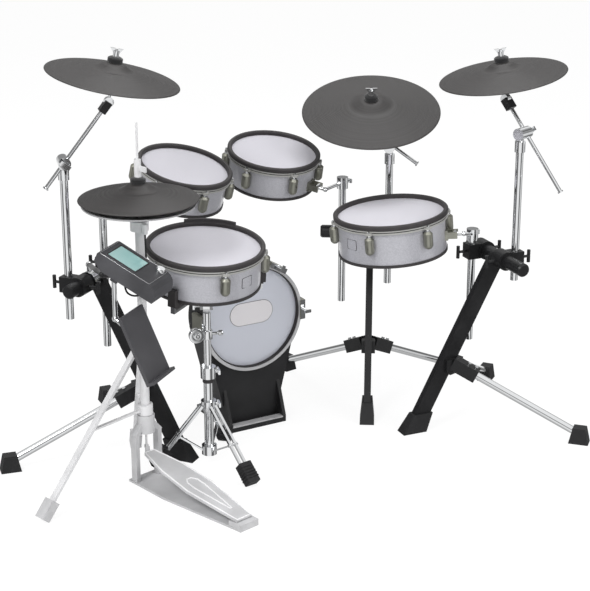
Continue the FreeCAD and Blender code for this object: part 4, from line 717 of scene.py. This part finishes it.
def turned_rubber():
    material, tree, shader = new_material("turned_pad_rubber", (0.038, 0.036, 0.0355), 0.5)
    ring = add_node(tree, "ShaderNodeAttribute", attribute_name="ring").outputs["Fac"]
    bands = add_node(tree, "ShaderNodeTexNoise", {"W": ring, "Scale": BANDS_PER_METRE, "Detail": 3.0},
                     noise_dimensions="1D").outputs["Fac"]
    colour_between(tree, shader, bands, (0.029, 0.0272, 0.0268), (0.05, 0.0475, 0.047))
    tree.links.new(remap(tree, bands, 0.4, 0.58), shader.inputs["Roughness"])
    add_bump(tree, shader, object_noise(tree, PAD_GRAIN), 0.12, 0.0003)
    shader.inputs["Specular IOR Level"].default_value = 0.35
    return material


pad_rubber = turned_rubber()
PAD_SIZES = {
    "Hole": 0.008, "Bow": 0.022, "Bell Radius": 0.056, "Bell Rise": 0.018, "Thickness": 0.004,
    "Groove Pitch": 0.0036, "Groove Depth": 0.00022, "Material": pad_rubber,
}
RIDE_BELL = 0.07
HAT_LOWER_RADIUS = 0.147
for cymbal, (radius, place, body) in CYMBALS.items():
    bell = RIDE_BELL if cymbal == "ride" else PAD_SIZES["Bell Radius"]
    mesh = run_tree(pad_tree, {**PAD_SIZES, "Radius": radius, "Bell Radius": bell})
    pad = link_mesh(mesh, cymbal + "_turned_pad", body, place)
    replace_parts(pad, cymbal + "_pad")
lower_place = Matrix.Translation(at_mm(HAT_X, HAT_Y, 770)) @ Matrix.Rotation(math.pi, 4, "X")
pale_pad = moulded("pale_pad_rubber", (0.42, 0.42, 0.43), 0.55, PAD_GRAIN, 0.0003, 1.1)
mesh = run_tree(pad_tree, {**PAD_SIZES, "Radius": HAT_LOWER_RADIUS, "Material": pale_pad})
pad = link_mesh(mesh, "hihat_lower_turned_pad", "stands", lower_place)
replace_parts(pad, "hihat_lower_pad")
print("pads turned:", len(CYMBALS) + 1, "with", len(mesh.polygons), "faces each")

# %% [markdown]
# Small turned things such as felts, rings and knobs share one helper: an outline of radius and height,
# swept round in steps. Doubles are merged and the normals recalculated, so that the faces point outwards.

# %% Turning helper
def turn_outline(outline, steps=64):
    """A closed shape turned about Z from (radius, height) points, up the outside and down the inside."""
    shape = bmesh.new()
    rings = []
    for step in range(steps):
        angle = 2 * math.pi * step / steps
        rings.append([shape.verts.new((r * math.cos(angle), r * math.sin(angle), z)) for r, z in outline])
    for step in range(steps):
        here, there = rings[step], rings[(step + 1) % steps]
        for i in range(len(outline)):
            k = (i + 1) % len(outline)
            shape.faces.new((here[i], there[i], there[k], here[k]))
    bmesh.ops.remove_doubles(shape, verts=shape.verts, dist=1e-6)
    bmesh.ops.recalc_face_normals(shape, faces=shape.faces)
    for face in shape.faces:
        face.smooth = True
    return mesh_of(shape, "turned")


def rounded(radius, low, high, inner, edge):
    """Outline of a ring with rounded edges."""
    points = []
    for centre_r, centre_z, first in (
        (radius - edge, low + edge, -90), (radius - edge, high - edge, 0),
        (inner + edge, high - edge, 90), (inner + edge, low + edge, 180),
    ):
        for k in range(4):
            angle = math.radians(first + 30 * k)
            points.append((centre_r + edge * math.cos(angle), centre_z + edge * math.sin(angle)))
    return points


print("turning helper ready")

# %% [markdown]
# Two felts hold a pad on its spindle. The upper one is a short stack with a waist, and its outline stands
# on the bell. The lower one is a plain ring under the bell.

# %% Felts on the cymbals
BELL_TOP = 0.044
UPPER_FELT = [
    (0.0078, -0.0002), (0.0186, -0.0002), (0.0200, 0.0010), (0.0203, 0.0034),
    (0.0198, 0.0056), (0.0200, 0.0066), (0.0203, 0.0092), (0.0197, 0.0114),
    (0.0175, 0.0130), (0.0145, 0.0146), (0.0110, 0.0158), (0.0078, 0.0166),
]
LOWER_FELT = rounded(0.0132, BELL_TOP - 0.0105, BELL_TOP - 0.0035, 0.0104, 0.001)
for cymbal, (radius, place, body) in CYMBALS.items():
    upper = turn_outline([(r, BELL_TOP + z) for r, z in UPPER_FELT])
    link_mesh(upper, cymbal + "_upper_felt", body, place, felt)
    link_mesh(turn_outline(LOWER_FELT), cymbal + "_lower_felt", body, place, felt)
print("felts laid on", len(CYMBALS), "pads")

# %% [markdown]
# A mesh head is one disc of cloth, stretched over the shell's edge and clamped under the hoop. It gets a
# flat map in metres, so that the weave has its real size.

# %% Mesh heads
def mapped_cloth(shape, name):
    """A flat piece of cloth as a mesh, with its map in metres."""
    flat_map = shape.loops.layers.uv.new("cloth")
    for face in shape.faces:
        for loop in face.loops:
            loop[flat_map].uv = loop.vert.co.xy
    return mesh_of(shape, name)


def cloth_disc(radius, height, rings=24, steps=128):
    shape = bmesh.new()
    turns = [2 * math.pi * step / steps for step in range(steps)]
    middle = shape.verts.new((0, 0, height))
    rows = []
    for ring in range(1, rings + 1):
        r = radius * ring / rings
        rows.append([shape.verts.new((r * math.cos(turn), r * math.sin(turn), height)) for turn in turns])
    for here in range(steps):
        there = (here + 1) % steps
        shape.faces.new((middle, rows[0][here], rows[0][there]))
        for low, high in zip(rows, rows[1:]):
            shape.faces.new((low[here], high[here], high[there], low[there]))
    for face in shape.faces:
        face.smooth = True
    return mapped_cloth(shape, "cloth_disc")


HEAD_LAP = 0.008
HEAD_HEIGHT = -0.012
for drum, (inner, place, first, count) in DRUMS.items():
    radius = inner + HEAD_LAP
    head = link_mesh(cloth_disc(radius, HEAD_HEIGHT), drum + "_mesh_head", drum, place, head_mesh)
    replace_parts(head, drum + "_head")
print("heads stretched:", len(DRUMS))

# %% [markdown]
# The kick pad stands upright and turns its face to the player. Its head is the same cloth in a cooler
# grey, with a long white patch sewn where the beater lands, and a black gasket ring inside the silver
# hoop.

# %% Kick head
KICK_HEAD_RADIUS = 0.153
KICK_OPENING = 0.148
KICK_HEAD_DEPTH = 0.0145
GASKET = rounded(KICK_OPENING - 0.0003, 0.0002, 0.0135, KICK_OPENING - 0.003, 0.0010)
PATCH_RISE = 0.012
PATCH_LAYERS = (
    ("kick_patch_edge", 0.139, 0.069, 0.0006, seam_cloth),
    ("kick_patch", 0.136, 0.066, 0.0011, patch_cloth),
)
kick_face = lay(kick_middle - kick_normal * KICK_HEAD_DEPTH, kick_normal)


def stadium(length, height, lift, rise, rows=12):
    """A flat long patch with round ends, and its area; lift is its height over the cloth."""
    shape = bmesh.new()
    end = height / 2
    half = length / 2 - end
    outline = []
    for centre, first in ((half, -90.0), (-half, 90.0)):
        for k in range(rows + 1):
            angle = math.radians(first + 180.0 * k / rows)
            x, y = centre + end * math.cos(angle), end * math.sin(angle) + rise
            outline.append(shape.verts.new((x, y, lift)))
    shape.faces.new(outline)
    bmesh.ops.triangulate(shape, faces=shape.faces)
    return mapped_cloth(shape, "stadium"), 2 * half * height + math.pi * end ** 2


kick_disc = cloth_disc(KICK_HEAD_RADIUS, 0.0)
kick_cloth = link_mesh(kick_disc, "kick_mesh_head", "stands", kick_face, kick_mesh)
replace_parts(kick_cloth, "kick_head")
for label, length, height, lift, cloth in PATCH_LAYERS:
    mesh, patch_area = stadium(length, height, lift, PATCH_RISE)
    patch = link_mesh(mesh, label, "stands", kick_face, cloth)
link_mesh(turn_outline(GASKET, 128), "kick_gasket_ring", "stands", kick_face, rim_rubber)
print("kick head and patch laid")

# %% [markdown]
# Each ear of a hoop is held down by a tension rod with a washer and a square key head, and the rod enters
# its lug through a nut. They repeat round the drum, so Geometry Nodes place them: two circles of points,
# one at the ears and one at the lugs, carry an instance each. The same tree serves drums of any size.

# %% Tension rod heads
STUD_INPUTS = {
    "Count": "Int", "First Angle": "Float", "Ear Radius": "Float", "Ear Height": "Float",
    "Lug Radius": "Float", "Lug Height": "Float", "Washer Radius": "Float", "Head Radius": "Float",
    "Head Height": "Float", "Material": "Material",
}
WASHER_HEIGHT = 0.0013
WASHER_SIDES = 20


def stud(tree, washer_radius, head_radius, head_height, sides):
    """A washer with a head of some sides on it, standing on the origin."""
    join = add_node(tree, "GeometryNodeJoinGeometry")
    for radius, height, base, count in (
        (washer_radius, WASHER_HEIGHT, 0.0, WASHER_SIDES), (head_radius, head_height, WASHER_HEIGHT, sides),
    ):
        barrel = add_node(tree, "GeometryNodeMeshCylinder", {
            "Vertices": count, "Radius": radius, "Depth": height,
        })
        stand = add_node(tree, "GeometryNodeTransform", {
            "Geometry": barrel.outputs["Mesh"],
            "Translation": vector(tree, Z=sums(tree, "MULTIPLY_ADD", height, 0.5, base)),
        })
        tree.links.new(stand.outputs["Geometry"], join.inputs["Geometry"])
    return join.outputs["Geometry"]


def round_of_studs(tree, value, place, sides, washer_share, head_share):
    """Studs on a circle, at the radius and height that the tree's inputs give for this place."""
    circle = add_node(tree, "GeometryNodeMeshCircle", {
        "Vertices": value["Count"], "Radius": value[place + " Radius"],
    })
    points = add_node(tree, "GeometryNodeTransform", {
        "Geometry": circle.outputs["Mesh"], "Translation": vector(tree, Z=value[place + " Height"]),
        "Rotation": vector(tree, Z=value["First Angle"]),
    })
    washer = sums(tree, "MULTIPLY", value["Washer Radius"], washer_share)
    head = sums(tree, "MULTIPLY", value["Head Radius"], head_share)
    tall = sums(tree, "MULTIPLY", value["Head Height"], head_share)
    repeat = add_node(tree, "GeometryNodeInstanceOnPoints", {
        "Points": points.outputs["Geometry"], "Instance": stud(tree, washer, head, tall, sides),
    })
    return repeat.outputs["Instances"]


def rod_head_tree():
    tree, value, target = start_tree("tension_rod_heads", STUD_INPUTS)
    join = add_node(tree, "GeometryNodeJoinGeometry")
    for place, sides, washer_share, head_share in (("Ear", 4, 1.0, 1.0), ("Lug", 6, 2.1, 1.6)):
        studs = round_of_studs(tree, value, place, sides, washer_share, head_share)
        tree.links.new(studs, join.inputs["Geometry"])
    close_tree(tree, join.outputs["Geometry"], value["Material"], target)
    return tree


EAR_REACH = 0.0154
LUG_REACH = 0.0129
ROD_HEAD_SIZES = {
    "Ear Height": -0.0179, "Lug Height": -0.0305, "Washer Radius": 0.0031, "Head Radius": 0.0028,
    "Head Height": 0.0034, "Material": chrome,
}
heads_tree = rod_head_tree()
for drum, (inner, place, first, count) in DRUMS.items():
    mesh = run_tree(heads_tree, {
        **ROD_HEAD_SIZES, "Count": count, "First Angle": math.radians(first),
        "Ear Radius": inner + EAR_REACH, "Lug Radius": inner + LUG_REACH,
    })
    link_mesh(mesh, drum + "_rod_heads", drum, place)
print("rod heads on", len(DRUMS), "drums, last with", len(mesh.polygons), "faces")

# %% [markdown]
# The snare stand's rubber boots carry ribs in a row. A row of ribs is a line of points with a rounded bar
# on each. The boots taper, so the first rib is a share of the last one's width and the others lie evenly
# between.

# %% Rows of ribs
RIB_INPUTS = {
    "Count": "Int", "First": "Float", "Last": "Float", "First Width": "Float", "Bar Size": "Vector",
    "Material": "Material",
}


def rib_row_tree(name):
    """Bars across local Y in a row along local X, from First to Last."""
    tree, value, target = start_tree(name, RIB_INPUTS)
    line = add_node(tree, "GeometryNodeMeshLine", {
        "Count": value["Count"], "Start Location": vector(tree, X=value["First"]),
        "Offset": vector(tree, X=value["Last"]),
    }, mode="END_POINTS")
    bar = add_node(tree, "GeometryNodeMeshCube", {"Size": value["Bar Size"]})
    soft_bar = add_node(tree, "GeometryNodeSubdivisionSurface", {
        "Mesh": bar.outputs["Mesh"], "Level": 2, "Edge Crease": 0.75,
    })
    index = add_node(tree, "GeometryNodeInputIndex").outputs["Index"]
    share = sums(tree, "DIVIDE", index, sums(tree, "SUBTRACT", value["Count"], 1.0))
    growth = sums(tree, "SUBTRACT", 1.0, value["First Width"])
    width = sums(tree, "MULTIPLY_ADD", share, growth, value["First Width"])
    repeat = add_node(tree, "GeometryNodeInstanceOnPoints", {
        "Points": line.outputs["Mesh"], "Instance": soft_bar.outputs["Mesh"],
        "Scale": vector(tree, X=1.0, Y=width, Z=1.0),
    })
    close_tree(tree, repeat.outputs["Instances"], value["Material"], target)
    return tree


SNARE_LEGS = ((-51.0, 0.190), (76.0, 0.150), (195.0, 0.150))
SNARE_LEG_FOOT = 0.014
SNARE_LEG_TOP = Vector((0.019, 0.0, 0.172))
BOOT_RIBS = {
    "Count": 5, "First": -0.040, "Last": -0.007, "First Width": 0.9, "Bar Size": (0.005, 0.042, 0.033),
    "Material": foot_rubber,
}
snare_foot = at_mm(-258.0, -185.0, 0.0)
boot_tree = rib_row_tree("boot_ribs")
for number, (angle, reach) in enumerate(SNARE_LEGS):
    turn = Matrix.Rotation(math.radians(angle), 3, "Z")
    across = turn @ Vector((0, 1, 0))
    end = snare_foot + turn @ Vector((reach, 0, SNARE_LEG_FOOT))
    along = (end - snare_foot - turn @ SNARE_LEG_TOP).normalized()
    link_mesh(run_tree(boot_tree, BOOT_RIBS), "snare_boot_ribs_%d" % number, "stands",
              axes(along, across, along.cross(across), end))
print("ribbed boots:", len(SNARE_LEGS))

# %% [markdown]
# The footboard is a cast plate with a raised drop-shaped frame and a bead round its edge. A bead is a
# thin closed curve with a round bevel, made into a mesh at once. The same bead frames the display and the
# bare plates on the shells.

# %% Footboard frame and edge bead
def bead(points, radius):
    """A mesh of a round bead that follows a closed list of points."""
    curve = bpy.data.curves.new("bead", "CURVE")
    curve.dimensions = "3D"
    curve.bevel_depth = radius
    curve.bevel_resolution = 2
    spline = curve.splines.new("POLY")
    spline.points.add(len(points) - 1)
    for point, place in zip(spline.points, points):
        point.co = (*place, 1.0)
    spline.use_cyclic_u = True
    carrier = bpy.data.objects.new("bead", curve)
    scene.collection.objects.link(carrier)
    mesh = plain_mesh(carrier)
    bpy.data.objects.remove(carrier)
    return mesh


BOARD_WIDTH = 0.088
BOARD_BEAD = 0.0022
BOARD_LIFT = 0.0035
PEDAL_TURN = math.radians(-46.0)
BOARD_LINES = (
    ("footboard_raised_frame", 0.0, ((0.13, 0.03), (0.3, 0.12), (0.45, 0.2), (0.53, 0.19), (0.57, 0.08))),
    ("footboard_edge_bead", 0.0026, ((0.0, 0.28), (0.45, 0.5), (0.75, 0.42), (1.0, 0.2))),
)
heel = Vector((0.384, 0.0, 0.022))
toe = Vector((0.012, 0.0, 0.082))
board_length = (toe - heel).length
board_along = (toe - heel).normalized()
board_up = board_along.cross(Vector((0, -1, 0)))
pedal_place = Matrix.Translation(at_mm(HAT_X, HAT_Y, 0.0)) @ Matrix.Rotation(PEDAL_TURN, 4, "Z")
board_across = board_up.cross(board_along)
board_top = pedal_place @ axes(board_along, board_across, board_up, heel + board_up * BOARD_LIFT)
for label, inset, halves in BOARD_LINES:
    edge = [(share * board_length, half * BOARD_WIDTH - inset, 0.0) for share, half in halves]
    edge += [(x, -y, z) for x, y, z in reversed(edge)]
    link_mesh(bead(edge, BOARD_BEAD), label, "hihat_footboard", board_top, pedal_edge_coat)
print("footboard", round(board_length, 3), "m long")

# %% [markdown]
# The module's display sits in a dark rubber frame, and a thin bright line runs round the top of the case.
# Both are beads round a rectangle with round corners.

# %% Display frame and case line
def rounded_corners(length, width, radius, steps=5):
    """Points of a flat rectangle with round corners."""
    points = []
    for side_x, side_y, first in ((1, 1, 0), (-1, 1, 90), (-1, -1, 180), (1, -1, 270)):
        for k in range(steps + 1):
            angle = math.radians(first + 90 * k / steps)
            points.append((side_x * (length / 2 - radius) + radius * math.cos(angle),
                           side_y * (width / 2 - radius) + radius * math.sin(angle), 0.0))
    return points


CASE_CORNER = 0.004
CASE_LINES = (
    ("display_frame", (0.087, 0.077), 0.0018, (-0.0298, 0.0, 0.022), rim_rubber),
    ("case_edge_line", (0.150, 0.104), 0.0008, (-0.0115, 0.0, 0.0219), hoop_metal),
)
module_turn = Matrix.Rotation(math.radians(-22.0), 4, "Z") @ Matrix.Rotation(math.radians(26.0), 4, "Y")
module_place = Matrix.Translation(at_mm(-428.0, -370.0, 614.0)) @ module_turn
for label, (length, width), thick, shift, finish in CASE_LINES:
    link_mesh(bead(rounded_corners(length, width, CASE_CORNER), thick), label, "module",
              module_place @ Matrix.Translation(shift), finish)
print("display framed")

# %% [markdown]
# Two shells carry a small bare plate that follows the shell's round, with a dark bead for its edge. The
# plate is a row of four-sided sections bent round the drum's axis. The snare stand's clamp has a rubber
# ring.

# %% Bare badge plates and the clamp's ring
PLATE_LENGTH = 0.036
PLATE_TALL = 0.028
PLATE_THICK = 0.0008
PLATE_CORNER = 0.003
PLATE_EDGE = 0.0007
PLATE_HEIGHT = -0.062
PLATE_EDGE_LIFT = 0.0006
SHELL_WALL = 0.0025
CLAMP_RING = rounded(0.0152, 0.2385, 0.2518, 0.0131, 0.0009)


def bent(points, radius, first):
    """Rolls flat points (along, up, out) round a drum's axis."""
    rolled = []
    for along, up, out in points:
        angle = first + along / radius
        rolled.append(((radius + out) * math.cos(angle), (radius + out) * math.sin(angle), up))
    return rolled


def badge_plate(radius, first, columns=12):
    low, high = PLATE_HEIGHT - PLATE_TALL / 2, PLATE_HEIGHT + PLATE_TALL / 2
    section = ((low, 0.0), (low, PLATE_THICK), (high, PLATE_THICK), (high, 0.0))
    flat = []
    for column in range(columns + 1):
        along = (column / columns - 0.5) * PLATE_LENGTH
        flat += [(along, up, out) for up, out in section]
    shape = bmesh.new()
    verts = [shape.verts.new(point) for point in bent(flat, radius, first)]
    rows = [verts[k:k + 4] for k in range(0, len(verts), 4)]
    for here, there in zip(rows, rows[1:]):
        for i in range(4):
            shape.faces.new((here[i], there[i], there[(i + 1) % 4], here[(i + 1) % 4]))
    shape.faces.new(rows[0])
    shape.faces.new(rows[-1][::-1])
    bmesh.ops.recalc_face_normals(shape, faces=shape.faces)
    return mesh_of(shape, "badge_plate")


for drum, angle in (("snare", -40.0), ("tom_floor", -140.0)):
    inner, place, first, count = DRUMS[drum]
    shell = inner + SHELL_WALL
    turn = math.radians(angle)
    link_mesh(badge_plate(shell, turn), drum + "_badge_plate", drum, place, wrap)
    corners = rounded_corners(PLATE_LENGTH, PLATE_TALL, PLATE_CORNER)
    outline = bent([(x, y + PLATE_HEIGHT, PLATE_EDGE_LIFT) for x, y, z in corners], shell, turn)
    link_mesh(bead(outline, PLATE_EDGE), drum + "_badge_edge", drum, place, rim_rubber)
link_mesh(turn_outline(CLAMP_RING), "snare_clamp_ring", "stands", Matrix.Translation(snare_foot),
          rim_rubber)
print("bare plates and clamp ring made")

# %% [markdown]
# The snare's upper tube carries a tilter lock: a clamp collar, a wheel with its hub on one side, and a
# lever with a knob on the other. All are turned shapes, joined into one mesh that rides on the tube.

# %% Snare tilter lock
LOCK_HEIGHT = 0.376
WHEEL_REACH = 0.031
lock_at = snare_foot + Vector((0, 0, LOCK_HEIGHT))
wheel_side = Vector((-0.94, -0.34, 0.0))
wheel_face = Vector((0.34, -0.94, 0.0))
wheel_at = lock_at + wheel_side * WHEEL_REACH
LOCK_TURNINGS = (
    ("collar", (0.0145, -0.013, 0.013, 0.0101, 0.0015), lock_at, Vector((0, 0, 1))),
    ("wheel", (0.0205, -0.007, 0.007, 0.006, 0.0018), wheel_at, wheel_face),
    ("hub", (0.0085, -0.011, 0.011, 0.0, 0.0012), wheel_at, wheel_face),
    ("stub", (0.007, 0.012, 0.024, 0.0, 0.001), lock_at, wheel_side),
    ("lever", (0.004, 0.013, 0.034, 0.0, 0.0015), lock_at, -wheel_side),
    ("knob", (0.0075, 0.03, 0.044, 0.0, 0.003), lock_at, -wheel_side),
)
shape = bmesh.new()
for label, sizes, start, direction in LOCK_TURNINGS:
    mesh = turn_outline(rounded(*sizes))
    mesh.transform(Matrix.Translation(start) @ direction.to_track_quat("Z", "Y").to_matrix().to_4x4())
    shape.from_mesh(mesh)
lock = mesh_of(shape, "joined")
link_mesh(lock, "snare_tilter_lock", "snare_upper", None, chrome)
print("tilter lock of", len(LOCK_TURNINGS), "turnings with", len(lock.polygons), "faces")

# %% [markdown]
# Light: a large soft key from the upper left, a fill from the right and a wide top light, all at a plain
# level. The floor and the world are white to the camera and dimmer as light sources, so the object is not
# washed out. Chrome is only as lively as the room it mirrors, so reflections see darker walls, a dark
# horizon and a grey ground.

# %% Floor, world and lights
FLOOR_SEEN_WHITE = 0.84
FLOOR_GLOW = 1.07
FLOOR_REACH = 12
FLOOR_DROP = 0.0005
ROOM_LIGHT = 0.5
WALL_DARKNESS = 0.85
HORIZON_DARKNESS = 0.7
GROUND_DARKNESS = 0.5
WALL_BEGINS = (0.4, 0.6)
WALL_ENDS = (0.84, 0.93)
WALL_TOP = (0.5, 0.8)
HORIZON_BEGINS = (-0.05, 0.1)
HORIZON_ENDS = (0.3, 0.5)
GROUND_BEGINS = (-0.8, -0.5)
LAMPS = (
    ("key", (-2.2, -3.0, 3.4), (0, 0, 0.6), 1.6, 110),
    ("fill", (3.0, -2.0, 2.2), (0, 0, 0.6), 2.0, 45),
    ("top", (0.3, 0.8, 4.0), (0, 0, 0.5), 2.5, 60),
)


def paper_floor():
    material, tree, shader = new_material("paper_floor", (0.92, 0.92, 0.92), 0.9)
    white = add_node(tree, "ShaderNodeEmission", {"Color": (1, 1, 1, 1), "Strength": FLOOR_GLOW})
    path = add_node(tree, "ShaderNodeLightPath")
    seen = sums(tree, "MULTIPLY", path.outputs["Is Camera Ray"], FLOOR_SEEN_WHITE)
    blend = add_node(tree, "ShaderNodeMixShader", {
        0: seen, 1: shader.outputs["BSDF"], 2: white.outputs["Emission"],
    })
    tree.links.new(blend.outputs["Shader"], tree.nodes["Material Output"].inputs["Surface"])
    mesh = bpy.data.meshes.new("floor")
    far = FLOOR_REACH
    mesh.from_pydata([(-far, -far, 0), (far, -far, 0), (far, far, 0), (-far, far, 0)], [], [(0, 1, 2, 3)])
    mesh.materials.append(material)
    floor = bpy.data.objects.new("floor", mesh)
    floor.location.z = -FLOOR_DROP
    floor.visible_glossy = False
    scene.collection.objects.link(floor)


def soft_light(name, place, aim, size, power):
    data = bpy.data.lights.new(name, "AREA")
    data.shape = "DISK"
    data.size = size
    data.energy = power
    light = bpy.data.objects.new(name, data)
    light.location = place
    light.rotation_euler = (Vector(aim) - Vector(place)).to_track_quat("-Z", "Y").to_euler()
    scene.collection.objects.link(light)


def white_room():
    """White to the camera. Reflections also see darker walls, horizon and ground, as chrome needs."""
    world = bpy.data.worlds.new("white_room")
    scene.world = world
    world.use_nodes = True
    tree = world.node_tree
    background = tree.nodes["Background"]
    background.inputs["Color"].default_value = (1, 1, 1, 1)
    way = add_node(tree, "ShaderNodeSeparateXYZ", {"Vector": coordinates(tree, "Generated")}).outputs
    sideways = sums(tree, "ABSOLUTE", way["X"])
    beside = sums(tree, "MULTIPLY", remap(tree, sideways, 0.0, 1.0, *WALL_BEGINS),
                  remap(tree, sideways, 1.0, 0.2, *WALL_ENDS))
    level = remap(tree, sums(tree, "ABSOLUTE", way["Z"]), 1.0, 0.0, *WALL_TOP)
    walls = sums(tree, "MULTIPLY", sums(tree, "MULTIPLY", beside, level), WALL_DARKNESS)
    horizon = sums(tree, "MULTIPLY", remap(tree, way["Z"], 0.0, 1.0, *HORIZON_BEGINS),
                   remap(tree, way["Z"], 1.0, 0.0, *HORIZON_ENDS))
    below = remap(tree, way["Z"], GROUND_DARKNESS, 0.0, *GROUND_BEGINS)
    around = sums(tree, "MAXIMUM", walls, sums(tree, "MULTIPLY", horizon, HORIZON_DARKNESS))
    dark = sums(tree, "MAXIMUM", around, below)
    wall = sums(tree, "SUBTRACT", 1.0, dark)
    ray = add_node(tree, "ShaderNodeLightPath").outputs
    seen = sums(tree, "MAXIMUM", ray["Is Camera Ray"], ray["Is Transmission Ray"])
    mirrored = sums(tree, "MULTIPLY", ray["Is Glossy Ray"], sums(tree, "SUBTRACT", wall, ROOM_LIGHT))
    lit = sums(tree, "ADD", mirrored, ROOM_LIGHT)
    rest = sums(tree, "MULTIPLY", sums(tree, "SUBTRACT", 1.0, seen), lit)
    tree.links.new(sums(tree, "ADD", rest, seen), background.inputs["Strength"])


paper_floor()
white_room()
for lamp in LAMPS:
    soft_light(*lamp)
print("lamps set:", len(LAMPS))
